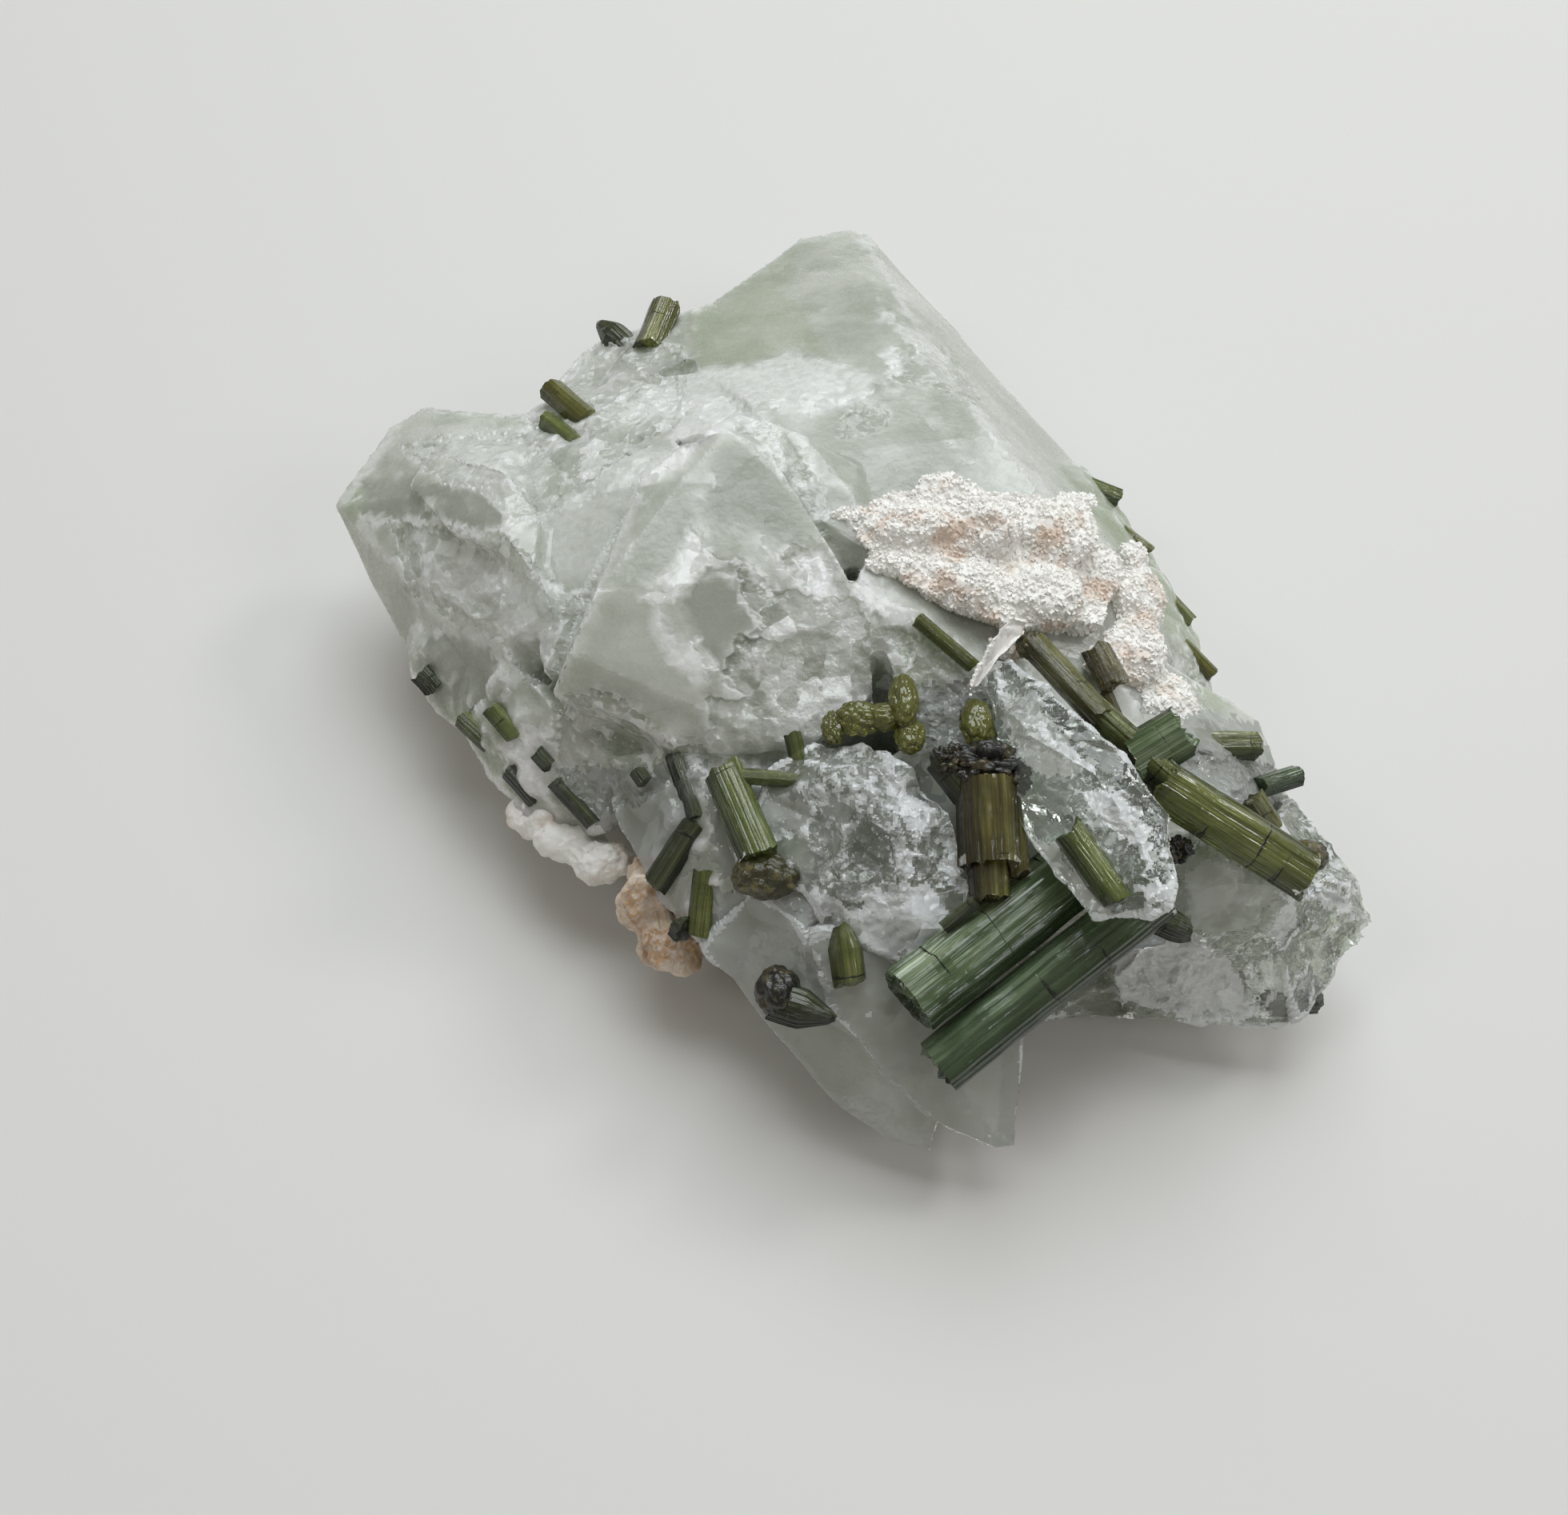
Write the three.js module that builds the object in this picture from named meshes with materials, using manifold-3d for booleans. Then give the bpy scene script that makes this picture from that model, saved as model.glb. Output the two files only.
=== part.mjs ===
// Green tourmaline in quartz: one loose hand specimen that rests on a flat patch.
// Millimetres, +Z up. +Y runs away from the viewer, +X to the viewer's right.
// Corners are written in the specimen's own frame; the last lines centre it over the origin.
import * as THREE from 'three';
import { ConvexGeometry } from 'three/addons/geometries/ConvexGeometry.js';
import * as BufferGeometryUtils from 'three/addons/utils/BufferGeometryUtils.js';
import Module from 'manifold-3d';

const wasm = await Module();
wasm.setup();

// Driving dimensions.
const SEAM = 0.15; // gap on every side between a crystal and the mineral that holds it
const BOLD_SIDES = 12; // corners in the section of a bold prism
const SLIM_SIDES = 9; // corners in the section of a slim one
const BOLD_WIDTH = 1.75; // a prism wider than this is a bold one
const TRIGONAL = 0.07; // how far the section leans from round to the rounded triangle of tourmaline
const GRAIN_GAP = 0.15; // gap between the feldspar and the quartz below it

// Quartz: each block is the hull of its corners, and the blocks have grown into one mass.
const QUARTZ_BLOCKS = {
  backBlock: [
    [4.2, 41, 10.3], [5.7, 40.6, 10.3], [1, 39.6, 10.8], [-2.5, 33.5, 12], [-5.5, 30, 13],
    [-6, 26, 14], [-5, 22, 15.5], [5.5, 31.5, 14], [6, 25.5, 16], [8.5, 20, 17.5],
    [-2, 17.5, 17.5], [4.5, 17.5, 17.8], [11.5, 14.5, 18], [0, 12.5, 18.3], [13.5, 11, 17.5],
    [8.7, 40, 7], [12, 36.5, 5.6], [17, 28.2, 4.8], [21.3, 20.6, 4.8], [23.4, 15.5, 4.8],
    [1.5, 38, 6], [-4, 31, 6], [3, 32, 0], [11, 31, 0], [17, 20, 0], [18, 10, 0],
    [-6, 8, 0], [-8, 24, 0], [5, 6, 18.2], [11, 7, 17.4],
  ],
  rightShoulder: [
    [13.5, 11, 17.3], [16, 9.5, 16], [18.5, 9, 14], [21.3, 10.3, 10], [23.6, 15, 4.8],
    [24.2, 8.4, 5], [24.6, 5.4, 5.8], [19.5, 5.5, 12.8], [16.7, 3, 14], [11.5, 2.5, 15.4],
    [6.5, 4, 17.2], [6, 10, 18], [3.6, 4.6, 18.2], [4.6, 1.2, 16.8], [6.4, -1.4, 14.8],
    [18, 14, 0], [21, 2, 0], [6, 0, 0], [20, -1, 11], [3, 3, 6], [12, -2, 14.4],
  ],
  centralCrystal: [
    [-3, 12, 21], [-0.8, 11, 20.5], [1, 8, 20], [3, 4.5, 19], [4.5, 2, 17.5], [4.6, -1, 15.4],
    [1, -3.3, 13.5], [-5.3, -2.3, 12.7], [-10, -0.6, 12.7], [-12, 0, 14], [-5.4, 11.5, 20.3],
    [-7.5, 9.5, 19.6], [-9.6, 3, 18.3], [-11, 0.5, 16.8], [-10, 4, 0], [-6, 14, 0],
    [4, 12, 0], [6, 2, 0], [-2, -2, 0], [-11.5, 5, 12], [-8, 12, 13],
  ],
  stepBehindPeak: [
    [-2.5, 14.5, 19.4], [1, 13, 19.6], [-4.5, 13, 19.6], [3.5, 9, 19.3], [5, 5, 18.4],
    [0, 8, 12], [-6, 13.5, 18.4], [-2, 16.5, 17.2], [4, 12, 18.4], [-3, 8, 12], [5, 8, 12],
  ],
  leftLobe: [
    [-26.8, 16.6, 10], [-24, 22, 11], [-21.7, 23, 11.8], [-20, 22.5, 12], [-15, 21, 13],
    [-16.6, 13, 15.6], [-14.5, 9.6, 16], [-12, 4.4, 15.6], [-14.5, 4.2, 13.4], [-21.7, 10.3, 11],
    [-26, 15.5, 7.5], [-22.8, 10, 6], [-20.8, 6, 6.2], [-17.2, 2, 5.4], [-16, 10, 0],
    [-12, 18, 0], [-8, 8, 0], [-11, 2, 0], [-22, 20, 5.5],
  ],
  lobeKnob: [
    [-18, 10, 14.6], [-14.5, 8, 16.6], [-13, 10.5, 16.4], [-15.5, 13.5, 16.4], [-19, 14, 14.8],
    [-16, 10, 10], [-13, 6, 16], [-12.5, 8, 12], [-21.5, 15, 13.4], [-20.5, 18, 13.4],
  ],
  valley: [
    [-15.5, 14, 14.6], [-5.2, 14.3, 17], [-9, 9.4, 16.2], [-15.4, 21, 13], [-11, 24, 13],
    [-5, 22, 15.5], [-1, 17.5, 17.3], [-12, 20, 0], [-2, 24, 0], [-2, 8, 0], [-10, 6, 0],
    [-13, 7, 15], [-11.6, 3.6, 14.8], [-12.6, 1.6, 13.4], [-9, 3, 12],
  ],
  topLeftShelf: [
    [-14.6, 24.8, 11.2], [-13, 27.4, 11.4], [-9.5, 28, 11.8], [-5.5, 30, 12.9], [-5, 24, 15],
    [-11, 22, 13.8], [-15, 21, 12.5], [-10, 24, 0], [-2, 29, 0], [-4, 20, 0], [-12.5, 26, 6],
  ],
  leftFoot: [
    [-17.2, 2, 6.5], [-14, -2, 6], [-12, 0.3, 12], [-15, 4, 12.5], [-10.5, -4, 6.5],
    [-8, 4, 2], [-12, 6, 0], [-9, 0, 0], [-6, -3, 10], [-9, -2, 11],
  ],
  frontShelf: [
    [-10, -1, 10.5], [-5, -2.5, 12], [1, -3.5, 12.6], [-8, -6, 8], [-6.2, -8.3, 7.6],
    [-4, -10.5, 7], [-1, -9.5, 11], [1, -12, 11], [-6, 0, 0], [-3, -6, 0], [6, -7, 0],
    [6, 2, 0], [6, -3, 13.5], [-3, -5, 12], [3, -11, 4], [-2, -10, 4],
  ],
  clearLump: [
    [-0.6, -4.6, 13.7], [1.5, -3.6, 14.8], [4.3, -3.8, 15.2], [6.5, -5.3, 15.3], [8.3, -8, 14.8],
    [9, -11, 13.4], [8.3, -13, 12], [6, -14, 11], [3.8, -12.8, 11.3], [2, -11, 12],
    [-0.6, -9.6, 12], [-1.6, -7, 12.4], [2, -6.5, 15.3], [5, -9, 15.4], [5.5, -12, 13.3],
    [0, -6, 6], [6, -11, 6], [9, -8, 6], [3, -4, 6], [1, -9, 5], [8, -12, 8.5],
  ],
  platePointLeft: [
    [-4, -11, 7.6], [-0.8, -14.7, 5.6], [2.8, -18.4, 3.6], [5, -19.7, 2.9], [7.4, -20.3, 2.9],
    [7.8, -19.4, 4.4], [4.5, -17.3, 6.6], [2, -14.5, 8.6], [0.8, -11.5, 11], [-1.5, -9.5, 10.8],
    [-2.5, -11.4, 5], [2, -16, 2.4], [6.5, -19.5, 1.6], [6, -11, 2], [0, -8, 2.5], [7, -14, 4],
  ],
  platePointRight: [
    [2.2, -14.8, 8.8], [4.6, -17.6, 7], [7.9, -20, 5], [10.4, -20.7, 4], [11.6, -20.5, 4],
    [11.8, -17, 6.4], [12, -13.8, 8.8], [11, -11, 10.5], [5, -11.5, 11.2], [1.5, -12, 10.8],
    [4.5, -16.5, 4.8], [10.8, -19.6, 2.8], [11, -12, 3], [4, -9, 3],
  ],
  foot: [
    [-11, 6, 0], [-8.5, 1, 0], [-3, -6, 0], [8, -9, 0], [20, -8.5, 0], [22, 2, 0], [18, 14, 0],
    [4, 20, 0], [-9, 14, 0], [-8, 3, 4], [-2, -4, 4], [18, -6, 4], [20, 2, 4], [4, 16, 4],
  ],
  lumpBridge: [
    [6, -2, 14.5], [9, -1, 15.6], [9.5, -5, 14], [9.5, -10, 10], [6, -10, 9], [5, -3, 8],
    [12, -10, 8], [4, -8, 0], [12, -8, 0], [12, 2, 0], [6, 2, 0], [13, 2, 14],
  ],
  rightField: [
    [9, 0, 15.4], [14, 1.5, 14.8], [19.5, 4, 12.6], [21, -2, 11.6], [24, -5, 10.6],
    [19, -7.5, 12], [14, -7, 12], [12, -10.5, 9.5], [19, -10, 9.5], [25, 2, 8], [27, 3.5, 6.5],
    [26.5, 1, 6], [27.6, -2, 7], [25, -6, 6], [10, -9, 0], [20, -8, 0], [22, 2, 0], [8, 2, 0],
    [25.4, 4.4, 6.8],
  ],
  rightRoundCrystal: [
    [18.8, -8, 12.4], [21, -6.3, 12.8], [24, -7.3, 12], [26.5, -9, 10.6], [27, -11, 9],
    [25, -12.4, 8.6], [21.5, -12.3, 9], [19, -11, 10.4], [17.5, -9, 10], [20, -7, 4],
    [25, -9, 4], [24, -12, 5], [19, -11, 5], [22, -9.3, 12.4],
  ],
  rightHorn: [
    [27.6, -2, 7.4], [29, -5, 8.4], [30.1, -7.6, 8.3], [30.6, -9.4, 7.3], [30, -10.6, 6],
    [28.5, -11.8, 5.4], [26.3, -13.9, 4.3], [25, -12, 8.4], [27, -9, 10.4], [25.5, -5, 9.5],
    [24, -9, 2.4], [24, -3, 3], [28, -5, 4.8], [27, -12.5, 3.6], [22, -6, 1.5],
  ],
  lowerRightToe: [
    [26, -13.8, 4], [24, -13.6, 3], [20, -13.6, 3], [17.8, -13.3, 2.4], [16, -11, 8],
    [20, -11, 9.4], [25, -12, 8], [16, -8, 1.2], [24, -9, 1.6], [26, -11, 3], [18, -9, 0.8],
  ],
  lowerRightSlab: [
    [13, -13, 2.2], [18.2, -13.4, 2.4], [19, -12, 3.6], [12.6, -12, 4.4], [12, -9, 0.8],
    [18.5, -9, 0.8], [13, -10, 5],
  ],
};

// The pointed clear blade lies over the green prisms.
const BLADE = [
  [9.8, -0.6, 16.6], [11.2, 0.2, 16.8], [13.3, -2.8, 17.2], [16, -6, 17.6], [18.1, -9.4, 17.6],
  [17.7, -12.6, 17.3], [17.4, -13.9, 16.8], [14.2, -13.6, 15.4], [12.6, -11.4, 15.2],
  [11.2, -8.4, 15.3], [10.6, -6.2, 15.6], [10, -3.4, 16.1], [14.6, -7.6, 18.2],
  [11.6, -4.6, 17.4], [16.2, -11, 17.9], [10.6, -2, 13.8], [12.4, -8.6, 13.8],
  [15, -12.4, 14.6], [16.6, -9.2, 14.8], [14, -4, 14],
];

// Hollows where flakes have come away: centre, half sizes and turn about Z in degrees.
const SCOOPS = [
  { at: [-9.5, 16.5, 23], half: [7.5, 4.2, 7.4], turn: 20 },
  { at: [-19, 5, 17], half: [4.4, 3, 5.4], turn: 30 },
  { at: [1.5, 26, 24], half: [6.4, 3.6, 7.8], turn: 8 },
  { at: [-9.5, -4.8, 15.6], half: [3.6, 3, 5], turn: 20 },
  { at: [-2.5, -7, 16.4], half: [2.6, 2.4, 4], turn: 0 },
  { at: [22.6, -14.2, 9.6], half: [3.2, 2.6, 3.6], turn: 10 },
  { at: [15.6, -13.2, 9.4], half: [3.4, 3, 4.6], turn: 0 },
  { at: [23.5, -1.5, 15.2], half: [3, 2.6, 4], turn: 10 },
];

// Feldspar: a pale sugary crust on the right shoulder, with lumps on its slab.
const PATCH_SLAB = [
  [2.9, 7.6, 19], [5.4, 9.6, 19], [9.2, 9.9, 19], [13.4, 10.2, 18.2], [16, 9.2, 16.8],
  [18.2, 7.6, 15.2], [16.6, 3.4, 15.6], [11.6, 2, 16.8], [7, 3.4, 18], [4.6, 5.4, 18.6],
  [4, 7, 16.6], [14, 9, 14.6], [16, 4, 12.6], [7, 4.6, 15.4], [11.4, 3.4, 14],
];
const PATCH_LUMPS = [
  { at: [6.2, 7.4, 18.6], half: [2.6, 1.6, 1] },
  { at: [10, 7.6, 18.2], half: [2.6, 2, 1.3] },
  { at: [14.2, 8, 17.2], half: [2.4, 2.2, 1.3] },
  { at: [9.2, 4.6, 17.2], half: [2.6, 1.9, 1.3] },
  { at: [13.2, 4.6, 16.4], half: [2.4, 2.2, 1.5] },
  { at: [18.6, 6.6, 13], half: [2, 2.6, 2] },
  { at: [18.2, 3.4, 13], half: [2.4, 2.4, 1.8] },
  { at: [19.8, 1.2, 11.8], half: [2.2, 2.2, 1.5] },
];
const RIM_LUMPS = [
  { at: [-13.3, -2.4, 5.6], half: [2, 1.5, 1.7] },
  { at: [-11.6, -3.9, 5.4], half: [2, 1.5, 1.7] },
  { at: [-9.8, -5.1, 5.6], half: [1.9, 1.4, 1.7] },
];
const RUSTY_LUMPS = [
  { at: [-7.2, -8.1, 6.4], half: [1.9, 1.7, 2.1] },
  { at: [-6.1, -10.1, 5.6], half: [1.9, 1.7, 2.1] },
  { at: [-7.4, -6.2, 6.4], half: [1.2, 1.2, 1.7] },
];
// Thin pale splinter that leans on the patch.
const SPLINTER = [
  [12.4, 1.8, 18.2], [11.2, 1.7, 18.6], [9.9, 0, 18.2], [8.8, -2.1, 17.2], [9.1, -2.2, 16.9],
  [10.5, -0.6, 17.4], [12, 0.8, 17.6], [11.6, 1.6, 17.2],
];

// Green prisms: from one end to the other, width across, and how each end is shaped.
// tip 0 is a flat or broken end; a larger tip draws the end in over that length.
const FREE_CRYSTALS = {
  prism_front_upper: [
    { from: [5.5, -16.1, 11.3], to: [14.6, -9, 12.6], width: 3.5, turn: 10, fromTip: 0.35 },
  ],
  prism_front_lower: [
    { from: [7, -18.5, 8.9], to: [18.4, -10.7, 12.9], width: 2.9, turn: 40, fromTip: 0.3 },
  ],
  prism_capped_pair: [
    { from: [9.3, -5.8, 15.9], to: [9.9, -12.1, 14.1], width: 2.1, turn: 0 },
    { from: [10.7, -6.1, 15.6], to: [11.1, -10.8, 14], width: 1.5, turn: 30 },
    { from: [7.3, -5, 15.9], to: [9, -7, 14.9], width: 1.6, turn: 15 },
    { lump: [9.7, -5.6, 16], half: [1.5, 1.1, 1] },
    { lump: [8.2, -5.2, 16], half: [1, 0.8, 0.9] },
    { lump: [11, -6.1, 15.7], half: [1.1, 0.9, 0.9] },
  ],
  prism_crossed_group: [
    { from: [12.2, 1.1, 17.1], to: [15.6, -3.6, 16.6], width: 1.4, turn: 0 },
    { from: [14.9, -2.6, 16.5], to: [18.9, -6.6, 15.6], width: 1.8, turn: 20 },
    { from: [16.6, -5.2, 15.4], to: [19.6, -3.9, 16.9], width: 2.6, turn: 10 },
    { from: [17.8, -6, 15.5], to: [25.6, -10.1, 12.7], width: 2.5, turn: 25 },
    { from: [24.1, -10, 12], to: [26, -8.6, 13.5], width: 1.7, turn: 0 },
  ],
  prism_in_blade: [
    { from: [13, -9.7, 17.2], to: [15.5, -13.3, 16], width: 1.7, turn: 0 },
  ],
  prism_right_level: [
    { from: [20.9, -1.1, 10.9], to: [25.4, -0.4, 9.9], width: 1.7, turn: 0 },
  ],
  prism_right_tip: [
    { from: [25, -2.6, 8.9], to: [27.8, -1.4, 8.5], width: 1.4, turn: 0 },
  ],
  prism_left_bright: [
    { from: [-3.1, -4, 13.4], to: [-1, -9.2, 12.7], width: 2.1, turn: 0 },
    { lump: [-0.9, -9.6, 12.1], half: [1.75, 1.15, 1.2] },
    { from: [-3, -4.7, 13.6], to: [3.4, -5.9, 14.6], width: 0.8, turn: 0 },
  ],
  prism_front_capped: [
    { from: [-0.8, -14.7, 9.2], to: [2.7, -15.9, 9.2], width: 2, turn: 0, toTip: 1.9 },
    { lump: [-0.3, -14.5, 9.4], half: [1.15, 1.3, 1.2] },
  ],
  prism_front_pointed: [
    { from: [2.7, -11.8, 12.1], to: [3.2, -14.7, 10.3], width: 1.8, turn: 0, fromTip: 1.4 },
  ],
  prism_left_dark: [
    { from: [-4.3, -5.9, 11.3], to: [-6.7, -8.7, 8.9], width: 1.4, turn: 0 },
    { from: [-5.7, -2.4, 12.3], to: [-4.4, -5.9, 11.2], width: 1, turn: 20 },
  ],
  prism_left_lower: [
    { from: [-3.9, -8, 10.2], to: [-4.3, -10.9, 7.9], width: 1.3, turn: 0 },
  ],
  prism_ring_end: [
    { from: [-5.6, -9.9, 7.9], to: [-4.9, -10.7, 7.9], width: 1.4, turn: 0 },
  ],
  knob_olive_long: [
    { from: [3.3, -2.6, 15.7], to: [6.1, -2.4, 15.9], width: 1.5, turn: 0, fromTip: 0.5 },
    { from: [5.8, -1.1, 17], to: [6.1, -4.2, 15.4], width: 1.4, turn: 0, fromTip: 0.4 },
  ],
  knob_olive_small: [
    { from: [2.3, -2.4, 15.8], to: [2.6, -4.1, 15], width: 1, turn: 0, fromTip: 0.3 },
  ],
  prism_face_green: [
    { from: [0.4, -3, 15], to: [0.9, -4.8, 13.9], width: 0.9, turn: 0 },
  ],
  knob_by_blade: [
    { from: [9, -2, 16.1], to: [10.1, -3.9, 15.2], width: 1.5, turn: 0, fromTip: 0.4 },
  ],
  prism_brown_end: [
    { from: [15.8, 1.9, 15.6], to: [16.9, -0.6, 15], width: 1.7, turn: 0 },
    { from: [16.2, -0.1, 14.4], to: [17.3, -2.8, 13.4], width: 0.9, turn: 0 },
  ],
  prism_patch_thin: [
    { from: [6.6, 2.2, 17.5], to: [9.6, 0, 16.2], width: 0.8, turn: 0 },
  ],
  knob_black: [
    { lump: [19.2, -8.6, 13], half: [0.85, 0.75, 0.75] },
  ],
  prism_right_small: [
    { from: [23.7, -4.6, 11.7], to: [25, -6.1, 10.5], width: 1.2, turn: 0 },
  ],
  prism_toe_pair: [
    { from: [24.9, -12.9, 4.6], to: [28, -12.6, 4.2], width: 1.5, turn: 0 },
  ],
  wedge_dark: [
    { from: [16.9, -10.6, 10.9], to: [20.1, -12, 10.4], width: 1.7, turn: 0, toTip: 0.8 },
  ],
  prism_flank_upper: [
    { from: [18.6, 20.4, 7.6], to: [20.9, 19.9, 6.9], width: 1.2, turn: 0 },
  ],
  prism_flank_middle: [
    { from: [20.3, 16.9, 7.4], to: [22.3, 15.7, 6.6], width: 1, turn: 0 },
  ],
  prism_flank_lower: [
    { from: [21.8, 10.9, 8.4], to: [23.6, 9.7, 7.1], width: 1.4, turn: 0 },
  ],
  prism_edge_thin: [
    { from: [22.6, 7.6, 8.3], to: [24.6, 5.9, 7.2], width: 0.9, turn: 0 },
  ],
  ring_left_far: [
    { from: [-20.6, 5.9, 8.1], to: [-19.4, 4.7, 7.6], width: 1.4, turn: 0 },
  ],
  prism_left_edge_a: [
    { from: [-17.9, 2.6, 8.3], to: [-15.8, 0.8, 7.6], width: 1.4, turn: 0 },
  ],
  prism_left_edge_b: [
    { from: [-15.9, 1.7, 10.5], to: [-14.3, 0.1, 9.6], width: 1.1, turn: 0 },
  ],
  prism_left_edge_c: [
    { from: [-15, -0.2, 7.7], to: [-13, -2.3, 7], width: 1.6, turn: 0 },
  ],
  prism_left_edge_d: [
    { from: [-12.3, -2, 9], to: [-10, -4.3, 7.9], width: 0.9, turn: 0 },
  ],
  prism_white_small: [
    { from: [-13.3, -0.8, 9.9], to: [-12.4, -1.7, 9.5], width: 0.9, turn: 0 },
  ],
  prism_shelf_small: [
    { from: [-7.6, -3.1, 11.8], to: [-7, -3.9, 11.5], width: 0.9, turn: 0 },
  ],
  prism_top_wedge: [
    { from: [-11.8, 30, 12.1], to: [-9.1, 26.8, 12], width: 1.9, turn: 0, fromTip: 1.8 },
  ],
  prism_top_olive: [
    { from: [-7.1, 29.6, 14], to: [-8.3, 25.6, 13.4], width: 2, turn: 0, fromTip: 0.4 },
  ],
  prism_top_lower: [
    { from: [-13.9, 22.4, 13.7], to: [-11.2, 19, 14.2], width: 1.5, turn: 0 },
  ],
  prism_valley_edge: [
    { from: [-14, 19.9, 13.6], to: [-11.6, 17, 14.3], width: 1.4, turn: 0 },
  ],
  flake_dark: [
    { from: [7.4, -13.1, 13.3], to: [9.1, -12, 14.2], width: 0.8, turn: 0 },
  ],
};

const COLOURS = {
  quartz: { colour: 0xb4b9ab, roughness: 0.22 },
  feldspar: { colour: 0xdfd2c8, roughness: 0.75 },
  rusty: { colour: 0xc9a480, roughness: 0.8 },
  green: { colour: 0x55683a, roughness: 0.2 },
  olive: { colour: 0x6a6630, roughness: 0.25 },
  dark: { colour: 0x2a2c26, roughness: 0.3 },
};

/** Turns a closed geometry into a solid that can be joined and cut. */
function toSolid(geometry) {
  const bare = geometry.clone();
  bare.deleteAttribute('normal');
  bare.deleteAttribute('uv');
  const merged = BufferGeometryUtils.mergeVertices(bare, 1e-3);
  const vertProperties = new Float32Array(merged.attributes.position.array);
  const triVerts = new Uint32Array(merged.index.array);
  return new wasm.Manifold(new wasm.Mesh({ numProp: 3, vertProperties, triVerts }));
}

/** Turns a solid back into a geometry. */
function toGeometry(solid) {
  const mesh = solid.getMesh();
  const geometry = new THREE.BufferGeometry();
  geometry.setAttribute('position', new THREE.BufferAttribute(new Float32Array(mesh.vertProperties), 3));
  geometry.setIndex(new THREE.BufferAttribute(new Uint32Array(mesh.triVerts), 1));
  geometry.computeVertexNormals();
  return geometry;
}

/** Convex block through the outer ones of the points. */
function block(points) {
  const corners = points.map((point) => (point.isVector3 ? point : new THREE.Vector3(...point)));
  return toSolid(new ConvexGeometry(corners));
}

/** The same corners pushed outward from their middle, for a seam around a piece. */
function pushedOut(points, distance) {
  const middle = new THREE.Vector3();
  points.forEach((point) => middle.add(new THREE.Vector3(...point)));
  middle.divideScalar(points.length);
  return points.map((point) => {
    const arm = new THREE.Vector3(...point).sub(middle);
    return arm.clone().normalize().multiplyScalar(distance).add(arm).add(middle);
  });
}

/** Small rounded lump: an icosahedron's points pushed in and out a little. */
function lump(at, half, grow, detail = 1) {
  const ball = new THREE.IcosahedronGeometry(1, detail);
  const positions = ball.attributes.position;
  const points = [];
  for (let i = 0; i < positions.count; i += 1) {
    const p = new THREE.Vector3().fromBufferAttribute(positions, i);
    const swell = 1 + 0.07 * Math.sin(9 * p.x + 4 * p.y + at[0]) * Math.cos(7 * p.z - 3 * p.y + at[1]);
    p.set(p.x * (half[0] * swell + grow), p.y * (half[1] * swell + grow), p.z * (half[2] * swell + grow));
    points.push(p.add(new THREE.Vector3(...at)));
  }
  return block(points);
}

/** Oval hollow to cut away. */
function hollow({ at, half, turn }) {
  const ball = new THREE.IcosahedronGeometry(1, half[0] > 5 ? 2 : 1);
  ball.scale(...half);
  ball.rotateZ(THREE.MathUtils.degToRad(turn));
  ball.translate(...at);
  return toSolid(ball);
}

/** Prism with the rounded three-sided section of tourmaline, grown by a seam where asked. */
function prism({ from, to, width, turn = 0, fromTip = 0, toTip = 0 }, grow) {
  const start = new THREE.Vector3(...from);
  const end = new THREE.Vector3(...to);
  const along = end.clone().sub(start).normalize();
  const side = new THREE.Vector3(0, 0, 1).cross(along).normalize();
  const up = along.clone().cross(side).normalize();
  const points = [];
  const sides = width > BOLD_WIDTH ? BOLD_SIDES : SLIM_SIDES;
  const ring = (centre, scale) => {
    for (let i = 0; i < sides; i += 1) {
      const angle = (2 * Math.PI * i) / sides + THREE.MathUtils.degToRad(turn);
      const round = 1 + TRIGONAL * Math.cos(3 * (angle - THREE.MathUtils.degToRad(turn)));
      const radius = (width / 2) * round * scale + grow;
      const arm = side.clone().multiplyScalar(Math.cos(angle) * radius);
      points.push(centre.clone().add(arm.add(up.clone().multiplyScalar(Math.sin(angle) * radius))));
    }
  };
  ring(start.clone().addScaledVector(along, fromTip - grow), 1);
  ring(end.clone().addScaledVector(along, grow - toTip), 1);
  if (fromTip > 0) {
    ring(start.clone().addScaledVector(along, -grow), fromTip > 1 ? 0.25 : 0.72);
  }
  if (toTip > 0) {
    ring(end.clone().addScaledVector(along, grow), toTip > 1 ? 0.25 : 0.72);
  }
  return block(points);
}

/** One crystal or a group grown together, grown by a seam where asked. */
function crystal(parts, grow) {
  const solids = parts.map((part) => (part.lump ? lump(part.lump, part.half, grow) : prism(part, grow)));
  return solids.reduce((whole, solid) => whole.add(solid));
}

/** The largest connected body of a solid, so that no loose chip is left. */
function mainBody(solid) {
  const bodies = solid.decompose();
  return bodies.reduce((best, body) => (body.volume() > best.volume() ? body : best));
}

/** Named mesh with its own material. */
function piece(name, solid, finish) {
  const material = new THREE.MeshStandardMaterial({
    color: finish.colour,
    roughness: finish.roughness,
    metalness: 0,
    flatShading: true,
  });
  const mesh = new THREE.Mesh(toGeometry(solid), material);
  mesh.name = name;
  return mesh;
}

const lumps = (list, grow) => list.map((one) => lump(one.at, one.half, grow)).reduce((a, b) => a.add(b));

// The quartz mass with its blade and hollows.
let quartz = Object.values(QUARTZ_BLOCKS).map(block).reduce((whole, solid) => whole.add(solid));
SCOOPS.forEach((scoop) => {
  quartz = quartz.subtract(hollow(scoop));
});
quartz = quartz.add(block(BLADE));

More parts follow.
